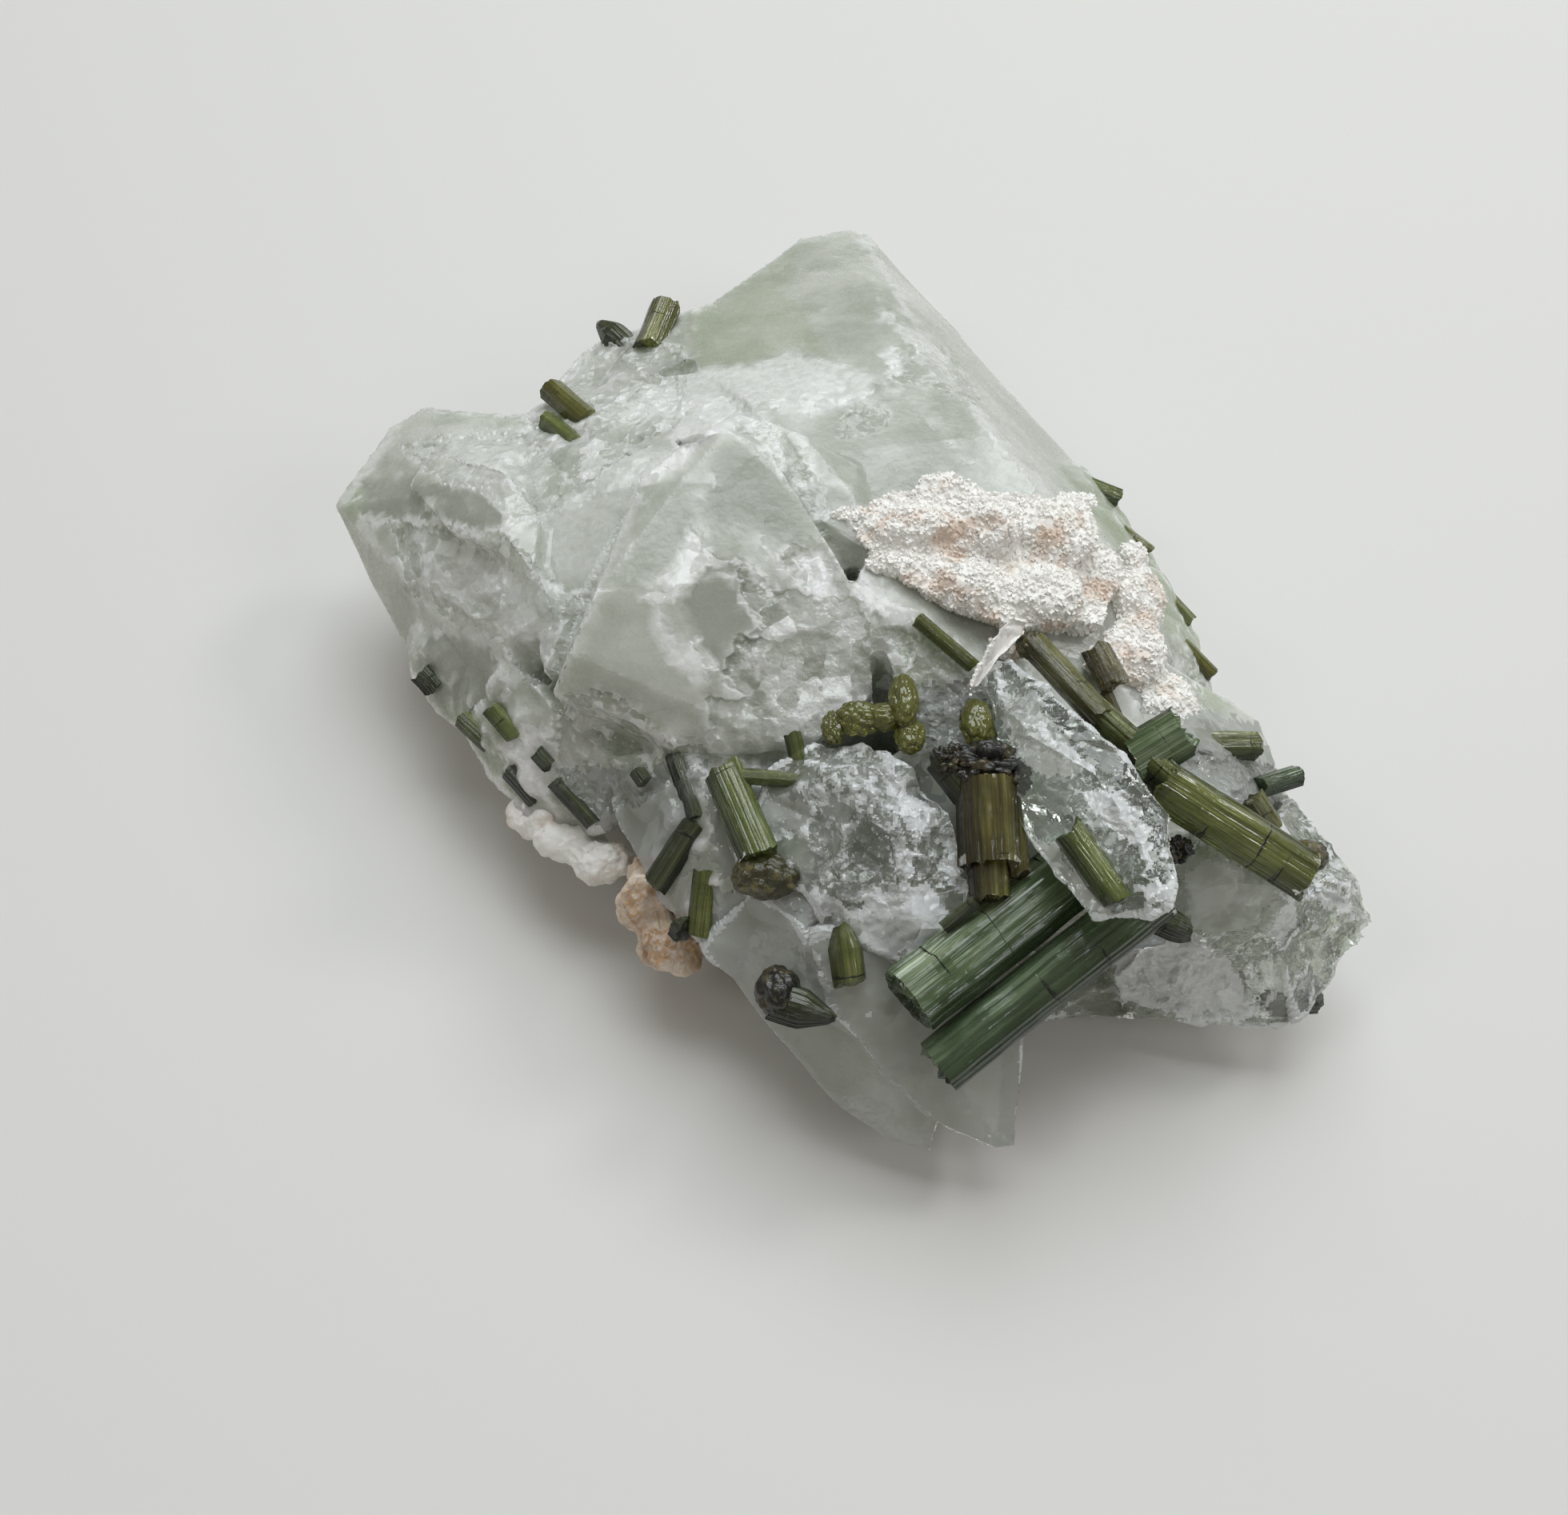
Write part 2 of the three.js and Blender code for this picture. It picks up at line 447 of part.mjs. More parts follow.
// Feldspar sits in the quartz with a thin seam all round.
let patch = block(PATCH_SLAB).add(lumps(PATCH_LUMPS, 0));
let rim = lumps(RIM_LUMPS, 0);
let rusty = lumps(RUSTY_LUMPS, 0);
let splinter = block(SPLINTER);
quartz = quartz.subtract(block(pushedOut(PATCH_SLAB, GRAIN_GAP)));
quartz = quartz.subtract(lumps(PATCH_LUMPS, GRAIN_GAP));
quartz = quartz.subtract(lumps(RIM_LUMPS, GRAIN_GAP));
quartz = quartz.subtract(lumps(RUSTY_LUMPS, GRAIN_GAP));
const splinterSeam = block(pushedOut(SPLINTER, GRAIN_GAP));
quartz = quartz.subtract(splinterSeam);
patch = patch.subtract(splinterSeam);
rusty = rusty.subtract(lumps(RIM_LUMPS, GRAIN_GAP));

// Each green crystal keeps its own seam in whatever holds it.
const grown = [];
Object.entries(FREE_CRYSTALS).forEach(([name, parts]) => {
  let solid = crystal(parts, 0);
  grown.forEach((earlier) => {
    solid = solid.subtract(earlier.seam);
  });
  const seam = crystal(parts, SEAM);
  quartz = quartz.subtract(seam);
  patch = patch.subtract(seam);
  rim = rim.subtract(seam);
  rusty = rusty.subtract(seam);
  splinter = splinter.subtract(seam);
  grown.push({ name, solid: mainBody(solid), seam });
});

const specimen = new THREE.Group();
specimen.add(piece('quartz_mass', mainBody(quartz), COLOURS.quartz));
specimen.add(piece('feldspar_patch', mainBody(patch), COLOURS.feldspar));
specimen.add(piece('feldspar_rim', mainBody(rim), COLOURS.feldspar));
specimen.add(piece('feldspar_rusty', mainBody(rusty), COLOURS.rusty));
specimen.add(piece('feldspar_splinter', mainBody(splinter), COLOURS.feldspar));
const DARK = ['prism_ring_end', 'knob_black', 'wedge_dark', 'flake_dark', 'ring_left_far', 'prism_shelf_small'];
const OLIVE = ['prism_capped_pair', 'knob_olive_long', 'knob_olive_small', 'prism_brown_end', 'prism_top_olive'];
grown.forEach(({ name, solid }) => {
  const rest = OLIVE.includes(name) ? COLOURS.olive : COLOURS.green;
  specimen.add(piece(name, solid, DARK.includes(name) ? COLOURS.dark : rest));
});

// The middle of the whole specimen stands over the origin, with its flat patch at zero.
const bounds = new THREE.Box3().setFromObject(specimen);
const middle = bounds.getCenter(new THREE.Vector3());
specimen.position.set(-middle.x, -middle.y, -bounds.min.z);
const group = new THREE.Group();
group.name = 'green_tourmaline_specimen';
group.add(specimen);

export default group;
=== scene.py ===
"""Looks of the green tourmaline specimen: quartz, feldspar and green prisms on a plain floor."""

import logging
import math
from dataclasses import dataclass, field
from enum import Enum
from typing import Iterator, Sequence

import bmesh
import bpy
import numpy as np
from bpy.types import Material, Mesh, Node, NodeSocket, NodeTree, Object
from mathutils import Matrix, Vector


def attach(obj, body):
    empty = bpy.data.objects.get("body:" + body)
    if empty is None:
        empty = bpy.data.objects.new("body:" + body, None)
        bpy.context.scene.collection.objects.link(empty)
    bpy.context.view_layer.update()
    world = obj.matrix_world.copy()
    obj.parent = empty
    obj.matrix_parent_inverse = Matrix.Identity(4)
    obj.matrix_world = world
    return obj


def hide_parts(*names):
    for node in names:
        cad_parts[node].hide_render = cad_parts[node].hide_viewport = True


Point = tuple[float, float, float]
Colour = tuple[float, float, float]

MM = 0.001
# The corners below are in millimetres in the specimen's own frame; this is the middle of its box.
MIDDLE = np.array([1.9, 10.15, 0.0])
FLOOR_GAP = 0.02  # mm that a carved foot is kept above the floor
FLAT_FOOT = 0.35  # mm above the floor up to which the foot stays flat
FAR = 1e9  # farther than anything on the specimen
CHIP = 0.42  # mm, the chips that the borders of traced patches follow
PATCH_BORDER = 7.0  # pixels over which a patch's look fades
LIFT_BORDER = 16.0  # pixels over which a patch's lift fades
QUARTZ_IOR, TOURMALINE_IOR, FELDSPAR_IOR = 1.54, 1.63, 1.53
SCATTER_DEPTH = 3.0  # mm that light goes into milky quartz

log = logging.getLogger("specimen")
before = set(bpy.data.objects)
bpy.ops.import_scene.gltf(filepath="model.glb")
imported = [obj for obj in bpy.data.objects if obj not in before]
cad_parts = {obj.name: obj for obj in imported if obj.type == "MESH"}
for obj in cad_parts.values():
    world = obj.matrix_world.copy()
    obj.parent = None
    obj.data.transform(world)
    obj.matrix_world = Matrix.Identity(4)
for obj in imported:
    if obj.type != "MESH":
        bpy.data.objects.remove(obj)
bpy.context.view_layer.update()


class Clarity(Enum):
    """How clear a piece of quartz is."""

    MILKY = "milky"
    CLOUDY = "cloudy"
    CLEAR = "clear"
    FROSTED = "frosted"
    VEILED = "veiled"


def cell_hash(cells: np.ndarray, seed: int, channel: int) -> np.ndarray:
    """Gives each whole-number cell its own fixed whole number.

    Args:
        cells: whole-number cell corners, N x 3.
        seed: chooses the field.
        channel: chooses one of several numbers for the same cell.

    Returns:
        N whole numbers of 32 bits.
    """
    c = cells.astype(np.int64)
    h = c[..., 0] * 73856093 ^ c[..., 1] * 19349663 ^ c[..., 2] * 83492791
    h = (h + (seed * 7919 + channel * 104729) * 2654435761) & 0xFFFFFFFF
    h = ((h ^ (h >> 16)) * 0x45D9F3B) & 0xFFFFFFFF
    h = ((h ^ (h >> 16)) * 0x45D9F3B) & 0xFFFFFFFF
    return h ^ (h >> 16)


def cell_noise(cells: np.ndarray, seed: int, channel: int) -> np.ndarray:
    """Gives each cell its own fixed number from 0 to 1."""
    return (cell_hash(cells, seed, channel) & 0xFFFFFF) / float(0xFFFFFF)


def cell_arrow(cells: np.ndarray, seed: int, channel: int) -> np.ndarray:
    """Gives each cell three fixed numbers from 0 to 1, N x 3."""
    h = cell_hash(cells, seed, channel)
    return np.stack([h & 1023, h >> 10 & 1023, h >> 20 & 1023], axis=1) / 1023.0


def cells_round(base: np.ndarray) -> Iterator[np.ndarray]:
    """Gives the corners of the 27 cells in and round each place's own cell, one lot at a time."""
    for dx in (-1, 0, 1):
        for dy in (-1, 0, 1):
            for dz in (-1, 0, 1):
                yield base + np.array([dx, dy, dz])


def soft_noise(points: np.ndarray, size: float, seed: int, octaves: int = 3) -> np.ndarray:
    """Smooth noise from -1 to 1 with features of about the given size.

    Args:
        points: places in millimetres, N x 3.
        size: feature size in millimetres.
        seed: chooses the field.
        octaves: how many finer layers are added.

    Returns:
        N numbers, mostly within -1 and 1.
    """
    total = np.zeros(len(points))
    strength = 1.0
    for octave in range(octaves):
        p = points / (size / 2**octave) + 31.7 * octave
        base = np.floor(p)
        f = p - base
        f = f * f * (3 - 2 * f)
        value = np.zeros(len(points))
        for corner in range(8):
            step = np.array([corner & 1, corner >> 1 & 1, corner >> 2 & 1])
            weight = np.prod(np.where(step, f, 1 - f), axis=1)
            value += weight * cell_noise(base + step, seed + octave, 0)
        total += strength * (value * 2 - 1)
        strength *= 0.5
    return total


def bowls(points: np.ndarray, size: float, seed: int, tilt: float = 1.1) -> np.ndarray:
    """Shell-shaped breaks that lean their own way, with sharp ridges between them.

    Args:
        points: places in millimetres, N x 3.
        size: width of a bowl in millimetres.
        seed: chooses the field.
        tilt: how far the bowls lean.

    Returns:
        N heights, 0 on the highest ridges and about -1 in the bowls.
    """
    p = points / size
    best = np.full(len(points), FAR)
    for cell in cells_round(np.floor(p)):
        away = p - cell - cell_arrow(cell, seed, 0)
        lean = np.sum(away * (cell_arrow(cell, seed, 1) - 0.5), axis=1)
        best = np.minimum(best, np.sum(away * away, axis=1) + tilt * lean)
    return np.minimum(best, 1.0) - 1.0


@dataclass(frozen=True)
class Zone:
    """A round stretch of the surface, such as a broken patch. Sizes in millimetres."""

    at: Point
    radius: float
    strength: float = 1.0


def zone_weight(points: np.ndarray, zones: Sequence[Zone], wander: float = 0.35) -> np.ndarray:
    """How strongly each place lies in the zones, with a ragged edge.

    Args:
        points: places in millimetres, N x 3.
        zones: the stretches.
        wander: how ragged the edge is, as a share of the radius.

    Returns:
        N numbers from 0 to 1.
    """
    ragged = soft_noise(points, 2.4, 77, 3) * wander
    weight = np.zeros(len(points))
    for zone in zones:
        distance = np.linalg.norm(points - np.array(zone.at), axis=1) / zone.radius + ragged
        weight = np.maximum(weight, zone.strength * np.clip((1.15 - distance) / 0.3, 0, 1))
    return weight


def snapped(points: np.ndarray, size: float, seed: int) -> np.ndarray:
    """Moves each place to the middle of its chip, so that what is read there follows the chips' edges.

    Args:
        points: places in millimetres, N x 3.
        size: width of a chip in millimetres.
        seed: chooses the chips.

    Returns:
        The chips' middles, N x 3.
    """
    p = points / size
    best = np.full(len(points), FAR)
    found = p.copy()
    for cell in cells_round(np.floor(p)):
        site = cell + cell_arrow(cell, seed, 0)
        distance = np.sum((p - site) ** 2, axis=1)
        near = distance < best
        best = np.where(near, distance, best)
        found = np.where(near[:, None], site, found)
    return found * size


@dataclass(frozen=True)
class View:
    """The photograph's camera, which says where a place on the specimen shows in it."""

    pitch: float = 57.0
    distance: float = 85.0
    aim: Point = (0.0, 0.0, 8.0)
    focal: float = 1950.0
    middle: tuple[float, float] = (980.0, 947.0)

    def eye(self) -> np.ndarray:
        """Where the camera stands, in millimetres."""
        tilt = math.radians(self.pitch)
        return np.array(self.aim) - self.distance * np.array([0.0, math.cos(tilt), -math.sin(tilt)])

    def pixels(self, points: np.ndarray) -> np.ndarray:
        """Where places show in the photograph.

        Args:
            points: places in millimetres, N x 3.

        Returns:
            Across and down in the photograph's pixels, N x 2.
        """
        tilt = math.radians(self.pitch)
        away = points - self.eye()
        depth = away @ np.array([0.0, math.cos(tilt), -math.sin(tilt)])
        height = away @ np.array([0.0, math.sin(tilt), math.cos(tilt)])
        across = self.middle[0] + self.focal * away[:, 0] / depth
        down = self.middle[1] - self.focal * height / depth
        return np.stack([across, down], axis=1)

    def facing(self, points: np.ndarray, normals: np.ndarray) -> np.ndarray:
        """How far each place faces the camera, from -1 to 1."""
        away = self.eye() - points
        away /= np.linalg.norm(away, axis=1, keepdims=True)
        return np.sum(away * normals, axis=1)


VIEW = View()


class Look(Enum):
    """What a traced patch of quartz looks like."""

    # WHITE is the quartz's own white chips and veils; a few traced patches use it for painted light.
    WHITE = "white"
    BROKEN = "broken"
    # DARK is painted shade: traced patches that darken faces lying in shade.
    DARK = "dark"
    GREEN = "green"
    CLEAR = "clear"


WHITE, BROKEN, DARK, GREEN, CLEAR = Look
Outline = tuple[tuple[float, float], ...]


@dataclass(frozen=True)
class Patch:
    """A patch of the surface, outlined where it shows in the photograph. lift is in millimetres."""

    look: Look
    outline: Outline
    strength: float = 1.0
    lift: float = 0.0


@dataclass(frozen=True)
class Crest:
    """A whitish line in the photograph: mostly a chipped edge, and along the white band a painted reflection; width in
    its pixels.
    """

    line: Outline
    width: float = 5.0
    strength: float = 1.0
    lift: float = 0.0


def line_distance(places: np.ndarray, line: Outline, closed: bool) -> np.ndarray:
    """Distance from each place to a line of straight stretches, in pixels.

    Args:
        places: N x 2.
        line: the line's corners.
        closed: whether it returns to its start.

    Returns:
        N distances.
    """
    best = np.full(len(places), FAR)
    corners = list(line) + ([line[0]] if closed else [])
    for first, second in zip(corners, corners[1:]):
        a, b = np.array(first), np.array(second)
        span = b - a
        t = np.clip((places - a) @ span / max(span @ span, 1e-9), 0, 1)
        best = np.minimum(best, np.linalg.norm(places - a - t[:, None] * span, axis=1))
    return best


def inside(places: np.ndarray, outline: Outline, soft: float) -> np.ndarray:
    """How far each place lies in an outline, from 0 to 1, with a soft border.

    Args:
        places: N x 2.
        outline: the outline's corners.
        soft: width of the border in pixels.

    Returns:
        N numbers from 0 to 1.
    """
    within = np.zeros(len(places), dtype=bool)
    x, y = places[:, 0], places[:, 1]
    for (x1, y1), (x2, y2) in zip(outline, outline[1:] + outline[:1]):
        crosses = (y1 > y) != (y2 > y)
        at = x1 + (x2 - x1) * (y - y1) / (y2 - y1 if y2 != y1 else 1e-9)
        within ^= crosses & (x < at)
    signed = line_distance(places, outline, True) * np.where(within, 1, -1)
    return np.clip(0.5 + signed / soft, 0, 1)


def to_metres(points: np.ndarray) -> np.ndarray:
    """Moves millimetre corners into the row frame, in metres."""
    return (points - MIDDLE) * MM


def mesh_points(mesh: Mesh) -> np.ndarray:
    """The places of a mesh's vertices, N x 3."""
    flat = np.empty(len(mesh.vertices) * 3)
    mesh.vertices.foreach_get("co", flat)
    return flat.reshape(-1, 3)


def mesh_normals(mesh: Mesh) -> np.ndarray:
    """The normals of a mesh's vertices, N x 3."""
    flat = np.empty(len(mesh.vertices) * 3)
    mesh.vertex_normals.foreach_get("vector", flat)
    return flat.reshape(-1, 3)


def set_points(mesh: Mesh, points: np.ndarray) -> None:
    """Writes new places to a mesh's vertices."""
    mesh.vertices.foreach_set("co", points.astype(np.float32).ravel())
    mesh.update()


def ridges(mesh: Mesh, points: np.ndarray, normals: np.ndarray, rounds: int) -> np.ndarray:
    """How far each vertex stands proud of its surroundings, in millimetres.

    Args:
        mesh: the mesh, read for its edges.
        points: its places, N x 3.
        normals: its normals, N x 3.
        rounds: how many neighbours wide the surroundings are.

    Returns:
        N heights, above 0 on ridges and below 0 in grooves.
    """
    ends = np.empty(len(mesh.edges) * 2, dtype=np.int64)
    mesh.edges.foreach_get("vertices", ends)
    first, second = ends.reshape(-1, 2).T
    count = np.bincount(first, minlength=len(points)) + np.bincount(second, minlength=len(points))
    smooth = points.copy()
    for _ in range(rounds):
        total = np.zeros_like(smooth)
        for axis in range(3):
            total[:, axis] += np.bincount(first, smooth[second, axis], minlength=len(points))
            total[:, axis] += np.bincount(second, smooth[first, axis], minlength=len(points))
        smooth = 0.3 * smooth + 0.7 * total / np.maximum(count, 1)[:, None]
    return np.sum((points - smooth) * normals, axis=1)


def add_value(mesh: Mesh, name: str, values: np.ndarray) -> None:
    """Stores one number for each vertex under a name that a material reads."""
    layer = mesh.attributes.new(name, "FLOAT", "POINT")
    layer.data.foreach_set("value", values.astype(np.float32))


def new_object(name: str, mesh: Mesh) -> Object:
    """Links a mesh to the scene as an object at the origin."""
    thing = bpy.data.objects.new(name, mesh)
    bpy.context.scene.collection.objects.link(thing)
    return thing


def hull(points: Sequence[Point], target: bmesh.types.BMesh) -> None:
    """Adds the convex block through the outer ones of the points.

    Args:
        points: corners in millimetres.
        target: the mesh that the block is added to.
    """
    part = bmesh.new()
    for p in points:
        part.verts.new(p)
    made = bmesh.ops.convex_hull(part, input=part.verts)
    loose = {v for v in made["geom_interior"] + made["geom_unused"] if isinstance(v, bmesh.types.BMVert)}
    bmesh.ops.delete(part, geom=list(loose), context="VERTS")
    bmesh.ops.recalc_face_normals(part, faces=part.faces)
    scrap = bpy.data.meshes.new("scrap")
    part.to_mesh(scrap)
    part.free()
    target.from_mesh(scrap)
    bpy.data.meshes.remove(scrap)


def applied(thing: Object) -> Mesh:
    """Turns an object's modifiers into a plain mesh and removes the object.

    Args:
        thing: the object, which is deleted.

    Returns:
        The finished mesh.
    """
    graph = bpy.context.evaluated_depsgraph_get()
    mesh = bpy.data.meshes.new_from_object(thing.evaluated_get(graph))
    thing.modifiers.clear()
    old = thing.data
    bpy.data.objects.remove(thing)
    if old.users == 0:
        bpy.data.meshes.remove(old)
    return mesh


def grown_together(name: str, blocks: Sequence[Sequence[Point]], voxel: float) -> Mesh:
    """Joins convex blocks in one even mesh.

    Args:
        name: name of the mesh.
        blocks: each block's corners in millimetres.
        voxel: size of the even mesh's squares in millimetres.

    Returns:
        A closed mesh in millimetres.
    """
    whole = bmesh.new()
    for corners in blocks:
        hull(corners, whole)
    mesh = bpy.data.meshes.new(name)
    whole.to_mesh(mesh)
    whole.free()
    thing = new_object(name, mesh)
    even = thing.modifiers.new("even", "REMESH")
    even.mode = "VOXEL"
    even.voxel_size = voxel
    return applied(thing)


def thinned(mesh: Mesh, limit: int) -> Mesh:
    """Brings a mesh under a number of triangles and keeps its shape.

    Args:
        mesh: the mesh, which is used up.
        limit: most triangles.

    Returns:
        The thinner mesh.
    """
    triangles = sum(len(p.vertices) - 2 for p in mesh.polygons)
    if triangles <= limit:
        return mesh
    thing = new_object("thin", mesh)
    fewer = thing.modifiers.new("fewer", "DECIMATE")
    fewer.ratio = limit / triangles * 0.99
    return applied(thing)


class Wires:
    """Small helper that adds nodes to a tree and joins them."""

    def __init__(self, tree: NodeTree) -> None:
        """Keeps the tree."""
        self.tree = tree

    def node(self, kind: str, links: dict | None = None, **settings) -> Node:
        """Adds a node.

        Args:
            kind: the node's type name.
            links: socket name or number to a value or to another node's output.
            settings: properties of the node.

        Returns:
            The new node.
        """
        made = self.tree.nodes.new(kind)
        for key, value in settings.items():
            setattr(made, key, value)
        self.feed(made, links or {})
        return made

    def feed(self, node: Node, links: dict) -> None:
        """Joins outputs to a node's inputs, or sets the inputs' own values.

        Args:
            node: the node.
            links: socket name or number to a value or to another node's output.
        """
        for key, value in links.items():
            if isinstance(value, NodeSocket):
                self.tree.links.new(value, node.inputs[key])
            elif isinstance(value, tuple) and node.inputs[key].type == "RGBA":
                node.inputs[key].default_value = (*value, 1.0)
            else:
                node.inputs[key].default_value = value

    def math(self, operation: str, a: object, b: object = 0.0, c: object = 0.0) -> NodeSocket:
        """Adds a Math node and gives its output."""
        return self.node("ShaderNodeMath", {0: a, 1: b, 2: c}, operation=operation).outputs[0]

    def ramp(self, factor: NodeSocket, low: float, high: float, a: float = 0.0, b: float = 1.0) -> NodeSocket:
        """Maps a range of a number smoothly to another.

        Args:
            factor: the number.
            low: where the range starts.
            high: where the range ends.
            a: what low becomes.
            b: what high becomes.

        Returns:
            The new number.
        """
        made = self.node(
            "ShaderNodeMapRange",
            {"Value": factor, "From Min": low, "From Max": high, "To Min": a, "To Max": b},
            interpolation_type="SMOOTHSTEP",
        )
        return made.outputs[0]

    def mix(self, factor: object, a: object, b: object) -> NodeSocket:
        """Mixes two colours."""
        return self.node("ShaderNodeMix", {0: factor, 6: a, 7: b}, data_type="RGBA").outputs[2]

    def vector(self, operation: str, a: object, b: object = (0.0, 0.0, 0.0)) -> NodeSocket:
        """Adds a Vector Math node and gives the vector that it puts out."""
        return self.node("ShaderNodeVectorMath", {0: a, 1: b}, operation=operation).outputs[0]

    def measure(self, operation: str, a: object, b: object = (0.0, 0.0, 0.0)) -> NodeSocket:
        """Adds a Vector Math node and gives the number that it puts out."""
        return self.node("ShaderNodeVectorMath", {0: a, 1: b}, operation=operation).outputs["Value"]

    def noise(self, place: object, scale: float, detail: float, roughness: float = 0.5) -> NodeSocket:
        """Adds a Noise Texture node and gives its number."""
        values = {"Vector": place, "Scale": scale, "Detail": detail, "Roughness": roughness}
        return self.node("ShaderNodeTexNoise", values).outputs[0]

    def scaled(self, vector: NodeSocket, by: object) -> NodeSocket:
        """A vector times a number."""
        return self.node("ShaderNodeVectorMath", {0: vector, "Scale": by}, operation="SCALE").outputs[0]


def started_group(name: str, inputs: dict[str, float | None]) -> tuple[Wires, bpy.types.bpy_prop_collection]:
    """Starts a shader node group that puts out a Height and a Tone.

    Args:
        name: the group's name.
        inputs: each input's first value, or None for a vector.

    Returns:
        A wiring helper for the group, and what comes in.
    """
    tree = bpy.data.node_groups.new(name, "ShaderNodeTree")
    for label, value in inputs.items():
        kind = "NodeSocketVector" if value is None else "NodeSocketFloat"
        socket = tree.interface.new_socket(name=label, in_out="INPUT", socket_type=kind)
        if value is not None:
            socket.default_value = value
    for label in ("Height", "Tone"):
        tree.interface.new_socket(name=label, in_out="OUTPUT", socket_type="NodeSocketFloat")
    w = Wires(tree)
    return w, w.node("NodeGroupInput").outputs


def flake_group() -> NodeTree:
    """Builds the node group for broken crystal: flat chips with their own slope and level.

    Returns:
        The group, with Vector, Size, Tilt, Step and Wander in, and Height and Tone out.
    """
    w, given = started_group("chip_relief", {"Vector": None, "Size": 1.0, "Tilt": 0.5, "Step": 0.1, "Wander": 0.4})
    scaled = w.vector("DIVIDE", given["Vector"], given["Size"])
    wobble = w.node("ShaderNodeTexNoise", {"Vector": scaled, "Scale": 1.7, "Detail": 0.0})
    centred = w.vector("SUBTRACT", wobble.outputs["Color"], (0.5, 0.5, 0.5))
    place = w.vector("ADD", scaled, w.scaled(centred, given["Wander"]))
    cells = w.node("ShaderNodeTexVoronoi", {"Vector": place, "Scale": 1.0})
    slope = w.vector("SUBTRACT", cells.outputs["Color"], (0.5, 0.5, 0.5))
    arm = w.vector("SUBTRACT", place, cells.outputs["Position"])
    plane = w.measure("DOT_PRODUCT", slope, arm)
    tone = w.node("ShaderNodeSeparateColor", {"Color": cells.outputs["Color"]}).outputs[2]
    tilted = w.math("MULTIPLY", plane, given["Tilt"])
    stepped = w.math("MULTIPLY_ADD", tone, given["Step"], tilted)
    w.node("NodeGroupOutput", {"Height": w.math("MULTIPLY", stepped, given["Size"]), "Tone": tone})
    return w.tree


def streak_group() -> NodeTree:
    """Builds the node group for the lengthwise lines on a prism.

    Returns:
        The group, with Vector (round, along, seed) in, and Height and Tone out.
    """
    w, given = started_group("lengthwise_lines", {"Vector": None, "Lines": 26.0, "Drift": 0.35})
    parts = w.node("ShaderNodeSeparateXYZ", {0: given["Vector"]})
    around = w.math("MULTIPLY", parts.outputs[0], given["Lines"])
    along = w.math("MULTIPLY", parts.outputs[1], given["Drift"])
    place = w.node("ShaderNodeCombineXYZ", {0: around, 1: along, 2: parts.outputs[2]})
    fine = w.noise(place.outputs[0], 1.0, 3.0, 0.6)
    w.node("NodeGroupOutput", {"Height": fine, "Tone": fine})
    return w.tree


def principled(name: str) -> tuple[Material, Wires, Node]:
    """Starts a material.

    Args:
        name: the material's name.

    Returns:
        The material, a wiring helper for it and its surface shader.
    """
    material = bpy.data.materials.new(name)
    material.use_nodes = True
    w = Wires(material.node_tree)
    return material, w, material.node_tree.nodes["Principled BSDF"]


def object_mm(w: Wires) -> NodeSocket:
    """Object coordinates in millimetres."""
    return w.scaled(w.node("ShaderNodeTexCoord").outputs["Object"], 1 / MM)


@dataclass(frozen=True)
class QuartzFinish:
    """Quartz from milky to clear: colours, clearness and how its breaks catch light."""

    name: str
    smooth: Colour
    broken: Colour
    deep: Colour
    clear: float
    rough_smooth: float
    rough_broken: float
    relief: float
    chip: float = 0.8  # mm
    tint: Colour = (0.33, 0.4, 0.24)
    scatter: float = 0.0

    def make(self, chips: NodeTree) -> Material:
        """Builds the material.

        Args:
            chips: the group for broken crystal.

        Returns:
            The material.
        """
        material, w, shader = principled(self.name)
        place = object_mm(w)
        broken, white, dark, green = (
            w.node("ShaderNodeAttribute", attribute_name=name).outputs["Fac"]
            for name in ("broken", "white", "dark", "green")
        )
        fine = w.node(
            "ShaderNodeGroup", {"Vector": place, "Size": self.chip, "Tilt": 0.9, "Step": 0.0, "Wander": 0.6},
            node_tree=chips,
        )
        cloud = w.noise(place, 0.2, 3.0, 0.6)
        grain = w.noise(place, 2.6, 2.0)
        # Milk drifts through the crystal, chips and edges go white, a few white patches add painted light, and the dark
        # patches paint shade onto some faces.
        milk = w.mix(w.ramp(cloud, 0.36, 0.64), self.deep, self.smooth)
        shaded = w.mix(w.math("MULTIPLY", dark, 0.85), milk, tuple(0.82 * c for c in self.deep))
        tinted = w.mix(w.math("MULTIPLY", green, 0.42), shaded, self.tint)
        flaked = w.math("MULTIPLY", broken, w.ramp(fine.outputs["Tone"], 0.5, 0.95, 0.08, 0.8))
        # The white mask is the quartz's own white chips and veils, plus painted light from a few traced patches.
        white_and_painted_light = w.math("MULTIPLY", white, w.ramp(grain, 0.3, 0.6, 0.7, 1.0))
        colour = w.mix(w.math("MAXIMUM", flaked, white_and_painted_light), tinted, self.broken)
        rough = w.ramp(broken, 0.0, 1.0, self.rough_smooth, self.rough_broken)
        varied = w.math("MULTIPLY_ADD", w.math("SUBTRACT", grain, 0.5), 0.2, rough)
        chipped = w.math("MAXIMUM", broken, w.math("MULTIPLY", white, 0.6))
        height = w.math("MULTIPLY", fine.outputs["Height"], w.ramp(chipped, 0.05, 0.9, 0.05, 0.9))
        grained = w.math("MULTIPLY_ADD", grain, w.ramp(broken, 0.0, 1.0, 0.02, 0.16), height)
        bump = w.node("ShaderNodeBump", {"Height": grained, "Strength": self.relief, "Distance": MM})
        w.feed(shader, {
            "Base Color": colour, "Roughness": varied, "Normal": bump.outputs[0],
            "Transmission Weight": self.clear, "IOR": QUARTZ_IOR,
        })
        if self.scatter > 0:
            w.feed(shader, {
                "Subsurface Weight": self.scatter, "Subsurface Radius": (1.0, 1.1, 0.95),
                "Subsurface Scale": SCATTER_DEPTH * MM,
            })
        return material


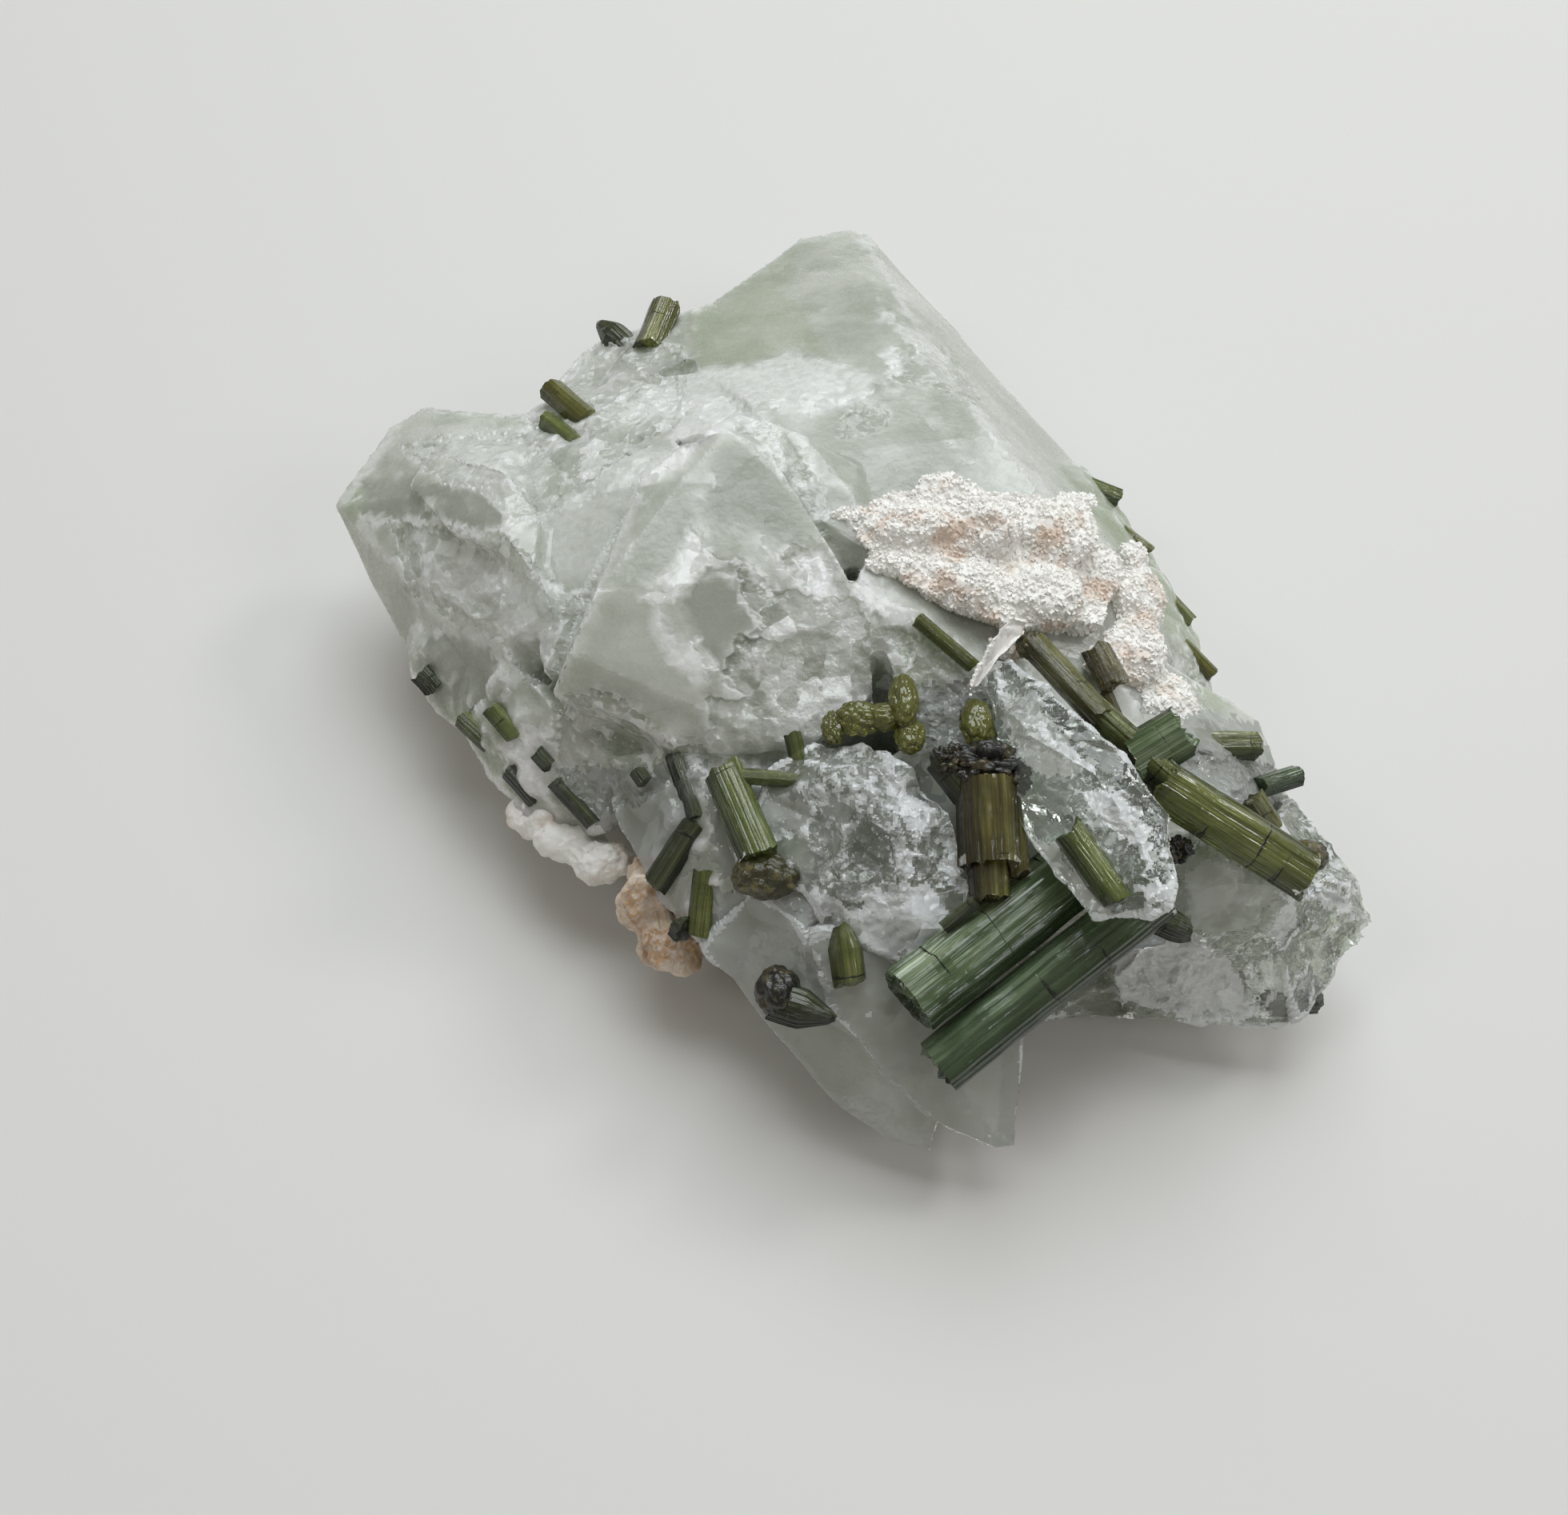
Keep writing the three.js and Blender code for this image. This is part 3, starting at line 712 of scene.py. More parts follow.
QUARTZ_FINISHES = {
    Clarity.MILKY: QuartzFinish(
        "milky_quartz", smooth=(0.6, 0.622, 0.565), broken=(0.95, 0.96, 0.95), deep=(0.45, 0.475, 0.41),
        clear=0.06, rough_smooth=0.26, rough_broken=0.1, chip=1.1, relief=1.0, scatter=0.6,
    ),
    Clarity.CLOUDY: QuartzFinish(
        "cloudy_quartz", smooth=(0.84, 0.88, 0.8), broken=(0.97, 0.98, 0.97), deep=(0.6, 0.65, 0.54),
        clear=0.78, rough_smooth=0.06, rough_broken=0.05, relief=0.7,
    ),
    Clarity.FROSTED: QuartzFinish(
        "frosted_quartz", smooth=(0.86, 0.89, 0.84), broken=(0.97, 0.98, 0.98), deep=(0.72, 0.76, 0.68),
        clear=0.6, rough_smooth=0.1, rough_broken=0.08, relief=0.8,
    ),
    # The bluish white of its broken colour is partly painted sparkle, light caught on the clear facets, and partly the
    # quartz's own white veils.
    Clarity.VEILED: QuartzFinish(
        "veiled_quartz", smooth=(0.87, 0.91, 0.9), broken=(0.96, 0.98, 1.0), deep=(0.8, 0.84, 0.82),
        clear=0.32, rough_smooth=0.12, rough_broken=0.08, relief=1.0,
    ),
    Clarity.CLEAR: QuartzFinish(
        "clear_quartz", smooth=(0.86, 0.91, 0.86), broken=(0.98, 0.99, 1.0), deep=(0.66, 0.71, 0.63),
        clear=0.92, rough_smooth=0.02, rough_broken=0.03, relief=0.7,
    ),
}


@dataclass(frozen=True)
class TourmalineFinish:
    """Tourmaline: base greens, how clear it is and how many lengthwise lines it has."""

    name: str
    # pale is painted light on the lit side; dark colours the lengthwise lines and paints shade round the back.
    pale: Colour
    mid: Colour
    dark: Colour
    clear: float = 0.68
    lines: float = 34.0

    def make(self, streaks: NodeTree, chips: NodeTree) -> Material:
        """Builds the material.

        Args:
            streaks: the group for lengthwise lines.
            chips: the group for broken crystal.

        Returns:
            The material.
        """
        material, w, shader = principled(self.name)
        lay = w.node("ShaderNodeAttribute", attribute_name="lay").outputs["Vector"]
        cap = w.node("ShaderNodeAttribute", attribute_name="cap").outputs["Fac"]
        place = object_mm(w)
        lines = w.node("ShaderNodeGroup", {"Vector": lay, "Lines": self.lines, "Drift": 0.12}, node_tree=streaks)
        broad = w.node("ShaderNodeGroup", {"Vector": lay, "Lines": self.lines * 0.2, "Drift": 0.25}, node_tree=streaks)
        parts = w.node("ShaderNodeSeparateXYZ", {0: lay})
        clouds = w.noise(place, 0.55, 3.0)
        breaks = w.node(
            "ShaderNodeGroup", {"Vector": place, "Size": 0.6, "Tilt": 0.5, "Step": 0.1, "Wander": 0.8},
            node_tree=chips,
        )
        away = w.math("ABSOLUTE", parts.outputs[0])
        # Painted light and shade: pale along the lit upper side and dark round the back, with fine lines from end to
        # end.
        sided = w.math("MULTIPLY_ADD", w.math("SUBTRACT", broad.outputs["Tone"], 0.5), -0.3, away)
        green = w.mix(w.ramp(sided, 0.1, 0.34), self.mid, self.dark)
        lined = w.mix(w.ramp(lines.outputs["Tone"], 0.36, 0.66, 0.0, 0.6), green, self.dark)
        between_lines = w.ramp(lines.outputs["Tone"], 0.3, 0.62, 1.0, 0.25)
        painted_light_part = w.math("MULTIPLY", w.ramp(sided, 0.02, 0.15, 1.0, 0.0), between_lines)
        lit = w.mix(w.math("MULTIPLY", painted_light_part, w.ramp(clouds, 0.35, 0.6, 0.45, 1.0)), lined, self.pale)
        ended = w.mix(w.math("MULTIPLY", cap, 0.55), lit, self.mid)
        crack = self.cracks(w, parts, lay)
        chipped = w.math("MULTIPLY", breaks.outputs["Height"], w.math("MULTIPLY_ADD", cap, 0.5, 0.1))
        lines_cut = w.math("MULTIPLY_ADD", lines.outputs["Height"], 0.09, chipped)
        height = w.math("MULTIPLY_ADD", crack, -0.1, lines_cut)
        bump = w.node("ShaderNodeBump", {"Height": height, "Strength": 0.9, "Distance": MM})
        w.feed(shader, {
            "Base Color": w.mix(crack, ended, (0.01, 0.012, 0.006)),
            "Roughness": w.ramp(breaks.outputs["Tone"], 0.0, 1.0, 0.03, 0.16), "Normal": bump.outputs[0],
            "Transmission Weight": self.clear, "IOR": TOURMALINE_IOR,
        })
        return material

    @staticmethod
    def cracks(w: Wires, parts: Node, lay: NodeSocket) -> NodeSocket:
        """Thin dark cracks across the prism, part of the way round.

        Args:
            w: the wiring helper.
            parts: the lay taken apart.
            lay: round, along and seed.

        Returns:
            1 on a crack and 0 elsewhere.
        """
        bent = w.noise(lay, 3.0, 3.0)
        along = w.math("MULTIPLY_ADD", parts.outputs[1], 0.42, w.math("MULTIPLY", bent, 0.35))
        place = {"W": w.math("ADD", along, parts.outputs[2]), "Scale": 1.0}
        cells = w.node("ShaderNodeTexVoronoi", place, voronoi_dimensions="1D", feature="DISTANCE_TO_EDGE")
        line = w.ramp(cells.outputs["Distance"], 0.008, 0.028, 1.0, 0.0)
        reach = w.noise(lay, 1.9, 1.0)
        return w.math("MULTIPLY", line, w.ramp(reach, 0.5, 0.58))


@dataclass(frozen=True)
class CrustFinish:
    """Matt sugary feldspar with stains."""

    name: str
    white: Colour
    stain: Colour
    amount: float

    def make(self, chips: NodeTree) -> Material:
        """Builds the material.

        Args:
            chips: the group for broken crystal.

        Returns:
            The material.
        """
        material, w, shader = principled(self.name)
        place = object_mm(w)
        grains = w.node(
            "ShaderNodeGroup", {"Vector": place, "Size": 0.22, "Tilt": 0.8, "Step": 0.0, "Wander": 0.5},
            node_tree=chips,
        )
        stains = w.noise(place, 0.42, 3.0, 0.55)
        base = w.mix(w.ramp(stains, 0.6 - self.amount * 0.3, 0.74 - self.amount * 0.2), self.white, self.stain)
        specked = w.mix(w.ramp(grains.outputs["Tone"], 0.0, 1.0, 0.0, 0.35), base, (0.93, 0.92, 0.9))
        bump = w.node("ShaderNodeBump", {"Height": grains.outputs["Height"], "Strength": 0.4, "Distance": MM})
        w.feed(shader, {
            "Base Color": specked, "Roughness": 0.5, "Normal": bump.outputs[0], "IOR": FELDSPAR_IOR,
        })
        return material


@dataclass(frozen=True)
class KnobFinish:
    """Nearly black knobbly tourmaline ends."""

    name: str
    dark: Colour
    warm: Colour

    def make(self) -> Material:
        """Builds the material.

        Returns:
            The material.
        """
        material, w, shader = principled(self.name)
        place = object_mm(w)
        patches = w.noise(place, 1.4, 3.0)
        fine = w.noise(place, 6.0, 3.0)
        bump = w.node("ShaderNodeBump", {"Height": fine, "Strength": 0.4, "Distance": 0.2 * MM})
        w.feed(shader, {
            "Base Color": w.mix(w.ramp(patches, 0.48, 0.7), self.dark, self.warm), "Roughness": 0.22,
            "Normal": bump.outputs[0], "IOR": TOURMALINE_IOR,
        })
        return material


@dataclass
class QuartzPiece:
    """One grown-together stretch of quartz with its breaks."""

    name: str
    clarity: Clarity
    blocks: dict[str, list[Point]]
    voxel: float
    limit: int = 190000
    scallop: float = 7.0
    scallop_depth: float = 0.16
    chip: float = 1.3
    chip_depth: float = 0.12
    seed: int = 1
    calm: float = 0.1
    white_edge: float = 0.8
    veil: float = 0.0
    patches: tuple[Patch, ...] = ()
    crests: tuple[Crest, ...] = ()
    zones: Sequence[Zone] = ()
    scoops: Sequence[tuple[Point, Point, float]] = ()
    replaces: tuple[str, ...] = ()

    def carve(self, points: np.ndarray) -> np.ndarray:
        """Presses oval hollows into the surface.

        Args:
            points: places in millimetres, N x 3.

        Returns:
            The new places.
        """
        for at, half, turn in self.scoops:
            angle = math.radians(turn)
            spin = np.array([[math.cos(angle), math.sin(angle), 0], [-math.sin(angle), math.cos(angle), 0], [0, 0, 1]])
            local = (points - np.array(at)) @ spin.T / np.array(half)
            reach = np.linalg.norm(local, axis=1, keepdims=True)
            pushed = local / np.maximum(reach, 1e-6) * np.array(half) @ spin + np.array(at)
            points = np.where(reach < 1, pushed, points)
        return points

    def looks(self, points: np.ndarray, normals: np.ndarray) -> tuple[dict[Look, np.ndarray], np.ndarray]:
        """Reads the traced patches and crests at each place.

        Args:
            points: places in millimetres, N x 3.
            normals: their normals, N x 3.

        Returns:
            The weight of each look, and how far each place is lifted in millimetres.
        """
        seen = np.clip((VIEW.facing(points, normals) + 0.02) / 0.12, 0, 1)
        chips = VIEW.pixels(snapped(points, CHIP, self.seed + 3))
        places = VIEW.pixels(points)
        weights = {look: np.zeros(len(points)) for look in Look}
        lift = np.zeros(len(points))
        for patch in self.patches:
            weight = inside(chips, patch.outline, PATCH_BORDER) * seen
            weights[patch.look] = np.maximum(weights[patch.look], weight * patch.strength)
            if patch.lift:
                lift += inside(places, patch.outline, LIFT_BORDER) * seen * patch.lift
        ragged = soft_noise(points, 0.9, self.seed + 4, 2)
        for crest in self.crests:
            reach = line_distance(chips, crest.line, False) / (crest.width * (1 + 0.8 * ragged))
            weight = np.clip(1.9 - reach, 0, 1) * seen
            weights[Look.WHITE] = np.maximum(weights[Look.WHITE], weight * crest.strength)
            lift += weight * crest.lift
        weights[Look.BROKEN] = np.maximum(weights[Look.BROKEN], zone_weight(points, self.zones))
        hidden = 1 - np.clip((VIEW.facing(points, normals) + 0.1) / 0.2, 0, 1)
        patchy = np.clip((soft_noise(points, 7, self.seed + 6) - 0.15) / 0.2, 0, 1)
        weights[Look.BROKEN] = np.maximum(weights[Look.BROKEN], hidden * patchy * 0.9)
        return weights, lift

    def collars(self, points: np.ndarray) -> np.ndarray:
        """How far the quartz has grown up round the crystals that sit in it.

        Args:
            points: places in millimetres, N x 3.

        Returns:
            N heights in millimetres.
        """
        rise = np.zeros(len(points))
        ragged = 1 + 0.35 * soft_noise(points, 1.1, self.seed + 9, 2)
        for crystal in CRYSTALS:
            for prism in crystal.prisms if crystal.sunk > 0 else ():
                a, b = np.array(prism.start), np.array(prism.end)
                t = np.clip((points - a) @ (b - a) / ((b - a) @ (b - a)), 0, 1)
                reach = np.linalg.norm(points - a - t[:, None] * (b - a), axis=1) / (prism.width * 0.5 + 0.9)
                rise = np.maximum(rise, crystal.sunk * np.clip(1.7 - reach, 0, 1) * ragged)
        return rise

    def build(self) -> Mesh:
        """Makes the mesh.

        Returns:
            A closed mesh in metres, with the looks' weights on its vertices.
        """
        mesh = grown_together(self.name, list(self.blocks.values()), self.voxel)
        points = self.carve(mesh_points(mesh))
        set_points(mesh, points)
        normals = mesh_normals(mesh)
        weights, lift = self.looks(points, normals)
        broken = np.clip(weights[Look.BROKEN] + self.calm * (soft_noise(points, 6, 5) + 0.3), 0, 1)
        bent = points + 0.5 * np.stack([soft_noise(points, 3.0, s, 2) for s in (11, 12, 13)], axis=1)
        relief = self.scallop_depth * (bowls(bent, self.scallop, self.seed + 20) + 0.4)
        relief += broken * self.chip_depth * (bowls(bent, self.chip, self.seed + 40) + 0.2)
        relief += broken * self.chip_depth * 0.5 * bowls(points, self.chip * 0.5, self.seed + 60)
        relief += 0.05 * soft_noise(points, 5.0, self.seed + 70, 2)
        lift = lift + relief + self.collars(points)
        on_floor = points[:, 2] < FLAT_FOOT
        lift = np.where(on_floor, np.minimum(lift, 0) * 0.2, lift)
        points = points + normals * lift[:, None]
        points[:, 2] = np.maximum(points[:, 2], FLOOR_GAP)
        set_points(mesh, points)
        normals = mesh_normals(mesh)
        fine = ridges(mesh, points, normals, 3) / (0.1 * self.voxel)
        broad = ridges(mesh, points, normals, 10) / (0.36 * self.voxel)
        ragged = soft_noise(points, 0.8, self.seed + 8, 2)
        edge = np.clip(np.maximum(fine * broken, broad) - 0.35 + 0.5 * ragged, 0, 1) * self.white_edge
        threads = np.clip(1 - 6 * np.abs(soft_noise(bent * (1.0, 0.6, 1.0), 1.1, self.seed + 90, 3) - 0.1), 0, 1)
        white = np.maximum(weights[Look.WHITE], np.maximum(edge, self.veil * broken * threads))
        add_value(mesh, "broken", broken)
        # white: the quartz's own white chips and veils, plus painted light from a few traced patches.
        add_value(mesh, "white", white)
        # dark: painted shade from the traced dark patches.
        add_value(mesh, "dark", weights[Look.DARK])
        add_value(mesh, "green", weights[Look.GREEN])
        add_value(mesh, "window", weights[Look.CLEAR])
        mesh = thinned(mesh, self.limit)
        set_points(mesh, to_metres(mesh_points(mesh)))
        return mesh

    def place(self, finishes: dict[Clarity, Material]) -> Object:
        """Builds the piece, dresses it and ties it to the frame.

        Args:
            finishes: the finish of each clarity.

        Returns:
            The piece.
        """
        mesh = self.build()
        mesh.materials.clear()
        mesh.materials.append(finishes[self.clarity])
        if self.clarity is Clarity.MILKY:
            mesh.materials.append(finishes[Clarity.FROSTED])
            self.dress_part(mesh, "window", (0.5,))
        else:
            mesh.materials.append(finishes[Clarity.FROSTED])
            mesh.materials.append(finishes[Clarity.VEILED])
            self.dress_part(mesh, "white", (0.34, 0.64))
        mesh.shade_flat()
        thing = new_object(self.name, mesh)
        thing.data.name = self.name
        finish_piece(thing, self.replaces)
        return thing

    @staticmethod
    def dress_part(mesh: Mesh, name: str, levels: Sequence[float]) -> None:
        """Gives each face the finish whose number is how many levels its stored value passes.

        Args:
            mesh: the mesh, with its finishes.
            name: the stored value's name.
            levels: the levels, from low to high.
        """
        values = np.empty(len(mesh.vertices))
        mesh.attributes[name].data.foreach_get("value", values)
        corners = np.empty(len(mesh.loops), dtype=np.int64)
        mesh.loops.foreach_get("vertex_index", corners)
        starts = np.empty(len(mesh.polygons), dtype=np.int64)
        mesh.polygons.foreach_get("loop_start", starts)
        passed = sum((values[corners[starts]] > level).astype(np.int32) for level in levels)
        mesh.polygons.foreach_set("material_index", passed)


def finish_piece(thing: Object, nodes: Sequence[str]) -> None:
    """Ties a piece to the body and the solids it stands for.

    Args:
        thing: the piece.
        nodes: the solids that it stands for.
    """
    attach(thing, "root")
    if nodes:
        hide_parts(*nodes)
    log.info("%s: %d faces", thing.name, len(thing.data.polygons))


# Patches of the milky body, as they show in the photograph; the dark patches are painted shade and a few white ones
# painted light.
BODY_PATCHES: tuple[Patch, ...] = (
    Patch(GREEN, (
        (1345, 590), (1378, 602), (1442, 700), (1502, 790), (1548, 880), (1512, 890), (1470, 800), (1400, 705))),
    # Painted reflection: this white band is the window's light reflected off an up-facing facet.
    Patch(WHITE, (
        (860, 458), (940, 455), (985, 440), (1035, 448), (1070, 455), (1098, 468), (1074, 490), (1052, 504),
        (1000, 512), (955, 508), (925, 496), (890, 502), (850, 518), (800, 520), (770, 515), (800, 480)), 0.68),
    Patch(WHITE, (
        (850, 560), (905, 528), (925, 524), (962, 552), (990, 585), (975, 540), (955, 512), (920, 497),
        (880, 505), (850, 525), (830, 550)), 0.7, 0.12),
    Patch(WHITE, (
        (640, 655), (700, 640), (745, 608), (800, 600), (850, 562), (800, 558), (760, 575), (728, 605), (690, 640)),
        0.55, 0.15),
    Patch(WHITE, (
        (862, 655), (882, 665), (886, 700), (870, 722), (852, 738), (848, 752), (800, 748), (822, 735),
        (845, 700)), 0.8, 0.08),
    Patch(WHITE, (
        (815, 750), (830, 748), (838, 790), (868, 806), (890, 838), (888, 858), (860, 850), (838, 828),
        (818, 795)), 0.85, 0.06),
    Patch(WHITE, ((1000, 684), (1028, 680), (1044, 716), (1052, 736), (1022, 742), (984, 702)), 1.0, -0.08),
    Patch(BROKEN, ((990, 684), (1030, 678), (1056, 740), (1022, 745), (975, 702))),
    Patch(WHITE, (
        (1058, 738), (1078, 706), (1100, 742), (1130, 765), (1152, 792), (1120, 792), (1080, 764)), 0.75, 0.1),
    Patch(WHITE, ((1108, 432), (1132, 440), (1124, 462), (1110, 468)), 0.9),
    Patch(WHITE, ((1232, 530), (1262, 560), (1300, 600), (1330, 640), (1250, 612), (1240, 580)), 0.45),
    Patch(WHITE, ((586, 560), (622, 570), (640, 596), (604, 604)), 0.6),
    Patch(WHITE, ((530, 624), (548, 626), (546, 640), (530, 638)), 0.8, 0.15),
    Patch(WHITE, ((594, 714), (622, 722), (612, 750), (590, 742)), 0.7, 0.12),
    Patch(WHITE, ((612, 782), (660, 776), (700, 772), (706, 800), (660, 806), (616, 796)), 0.75, 0.1),
    Patch(WHITE, ((664, 815), (692, 816), (688, 838), (668, 836)), 0.7, 0.1),
    Patch(WHITE, ((645, 905), (690, 908), (700, 950), (704, 990), (664, 986), (640, 950)), 0.95),
    Patch(BROKEN, (
        (922, 700), (965, 742), (1010, 742), (1060, 742), (1110, 782), (1152, 800), (1120, 850), (1085, 900),
        (1040, 905), (1010, 892), (978, 908), (938, 882), (905, 845), (920, 800), (962, 792), (930, 752))),
    Patch(BROKEN, (
        (490, 655), (560, 660), (620, 662), (664, 696), (704, 742), (742, 744), (712, 800), (694, 850),
        (655, 852), (622, 802), (560, 772), (512, 742)), 0.8),
    Patch(BROKEN, (
        (500, 556), (600, 536), (672, 545), (704, 600), (690, 640), (640, 650), (600, 608), (550, 598)), 0.7),
    Patch(BROKEN, ((664, 470), (740, 430), (850, 440), (850, 520), (790, 560), (720, 610), (664, 560)), 0.9),
    Patch(BROKEN, (
        (690, 880), (762, 868), (832, 920), (884, 932), (905, 962), (860, 968), (800, 1000), (750, 1010),
        (700, 950))),
    Patch(BROKEN, (
        (880, 870), (950, 880), (1060, 905), (1150, 880), (1180, 960), (1120, 990), (1000, 985), (900, 960)), 0.7),
    Patch(BROKEN, ((925, 500), (1000, 560), (1030, 640), (1005, 615), (965, 558)), 0.6),
    Patch(BROKEN, ((1180, 430), (1230, 500), (1150, 480), (1110, 470), (1120, 440)), 0.5),
    Patch(BROKEN, ((1060, 510), (1110, 505), (1105, 530), (1050, 545)), 0.6),
    Patch(BROKEN, ((1150, 800), (1230, 850), (1250, 900), (1200, 940), (1130, 880)), 0.9),
    Patch(BROKEN, ((1460, 940), (1600, 960), (1640, 1040), (1560, 1040), (1480, 990))),
    Patch(BROKEN, ((1400, 800), (1480, 820), (1510, 880), (1440, 890), (1400, 850)), 0.8),
    Patch(BROKEN, ((880, 1100), (1010, 1140), (1060, 1230), (940, 1200), (890, 1170)), 0.5),
    # Painted shade: these dark patches darken faces that lie in shade.
    Patch(DARK, ((450, 600), (560, 598), (600, 608), (636, 650), (596, 662), (545, 650), (450, 645)), 1.0, -0.12),
    Patch(DARK, (
        (905, 555), (950, 555), (1010, 620), (1034, 660), (1000, 676), (950, 662), (928, 650), (886, 650),
        (878, 600)), 0.8),
    Patch(DARK, ((880, 705), (925, 702), (932, 755), (962, 800), (905, 850), (872, 800), (850, 752)), 0.9, -0.1),
    Patch(DARK, ((1050, 680), (1092, 678), (1110, 702), (1062, 738)), 0.9, -0.12),
    Patch(DARK, ((512, 782), (600, 800), (642, 852), (640, 880), (560, 872)), 0.9),
    Patch(DARK, ((1145, 905), (1200, 905), (1215, 950), (1150, 970)), 0.9),
    Patch(DARK, ((790, 610), (850, 600), (868, 650), (840, 700), (800, 730), (745, 735), (775, 680)), 0.5),
    # Painted light: faint white that brightens the left lobe and the front faces, which get little lamp light.
    Patch(WHITE, ((664, 640), (730, 612), (790, 610), (772, 660), (748, 720), (700, 720)), 0.34),
    Patch(WHITE, ((560, 690), (640, 700), (700, 750), (700, 850), (640, 840), (580, 790)), 0.36),
    Patch(WHITE, ((460, 560), (520, 530), (640, 530), (690, 600), (640, 640), (560, 590)), 0.3),
    Patch(WHITE, ((850, 840), (960, 860), (1100, 880), (1000, 960), (880, 930)), 0.26),
    # Painted shade: faint dark over the top and right faces, which the lamps light most.
    Patch(DARK, ((1000, 540), (1060, 520), (1200, 540), (1240, 600), (1120, 610), (1040, 636)), 0.36),
    Patch(DARK, ((1110, 340), (1200, 470), (1300, 590), (1370, 660), (1290, 600), (1180, 500), (1100, 400)), 0.3),
    Patch(GREEN, ((866, 395), (950, 350), (1005, 378), (1030, 440), (980, 432), (920, 456), (868, 458)), 0.9),
    Patch(GREEN, ((860, 400), (960, 330), (1000, 300), (985, 350), (910, 400)), 0.6),
    Patch(GREEN, ((416, 632), (445, 600), (455, 632), (450, 660)), 0.9),
    Patch(GREEN, ((740, 880), (830, 900), (880, 960), (820, 1060), (760, 1000)), 0.5),
    Patch(GREEN, ((1130, 780), (1190, 800), (1190, 860), (1120, 860)), 0.6),
    Patch(GREEN, ((1330, 590), (1400, 640), (1470, 720), (1500, 850), (1430, 720)), 0.6),
    Patch(GREEN, ((560, 880), (640, 880), (740, 1000), (640, 990)), 0.6),
    Patch(CLEAR, ((700, 960), (760, 960), (880, 960), (870, 1090), (800, 1100), (740, 1020))),
    Patch(CLEAR, ((880, 960), (1130, 960), (1180, 1000), (1100, 1160), (1000, 1140), (900, 1090))),
    Patch(CLEAR, ((1130, 860), (1250, 850), (1260, 960), (1180, 960), (1140, 920))),
    Patch(CLEAR, ((1480, 880), (1570, 900), (1650, 1000), (1700, 1100), (1560, 1060), (1460, 960))),
    Patch(CLEAR, ((880, 1100), (1010, 1140), (1090, 1240), (1000, 1230), (890, 1190))),
)


# Whitish chipped edges of the milky body, and the painted reflection along the white band, as they show in the
# photograph.
BODY_CRESTS: tuple[Crest, ...] = (
    Crest(((905, 530), (880, 548), (850, 565), (842, 580), (802, 598)), 5, 0.9),
    Crest(((905, 530), (930, 528), (965, 560), (1000, 600), (1030, 642), (1060, 652)), 4, 0.7),
    Crest(((800, 600), (790, 640), (770, 680), (745, 725), (735, 765), (702, 812), (686, 850)), 3, 0.5),
    Crest(((640, 650), (700, 640), (750, 612), (800, 600)), 4, 0.6),
    # Painted reflection along the lower edge of the white band.
    Crest(((855, 505), (925, 496), (985, 511), (1050, 506), (1085, 488)), 4, 0.9),
    Crest(((915, 688), (940, 718), (966, 748)), 2.2),
    Crest(((942, 672), (975, 698), (998, 728), (1020, 745)), 3),
    Crest(((1080, 300), (1130, 380), (1200, 485), (1262, 560), (1330, 640), (1395, 700)), 3, 0.5),
    Crest(((1105, 390), (1150, 430), (1180, 445)), 5, 0.6),
    Crest(((450, 660), (485, 698), (512, 730), (530, 800)), 4, 0.5),
    Crest(((545, 600), (600, 608), (640, 650)), 3, 0.5),
    Crest(((882, 935), (940, 955), (1000, 985), (1060, 1000)), 4, 0.8),
    Crest(((450, 648), (545, 652), (596, 664), (640, 652)), 3.5, 0.7),
    Crest(((664, 696), (700, 738), (745, 742)), 4, 0.8),
    Crest(((512, 782), (600, 800), (642, 852), (640, 885)), 3, 0.7),
    Crest(((905, 530), (890, 600), (868, 655), (886, 700), (925, 702)), 2.5, 0.7),
    Crest(((905, 705), (932, 756), (964, 800), (908, 850), (872, 802)), 2.5, 0.7),
    Crest(((1092, 470), (1150, 500), (1180, 540), (1240, 600)), 3, 0.5),
    Crest(((1000, 512), (1004, 560), (1020, 610), (1036, 640)), 4, 0.7),
    Crest(((420, 632), (452, 590), (490, 530), (505, 508)), 4, 0.6),
    Crest(((500, 505), (560, 506), (604, 514), (664, 520), (700, 470), (740, 430)), 4, 0.6),
    Crest(((1020, 640), (1060, 650), (1100, 630), (1140, 615)), 4, 0.6),
)


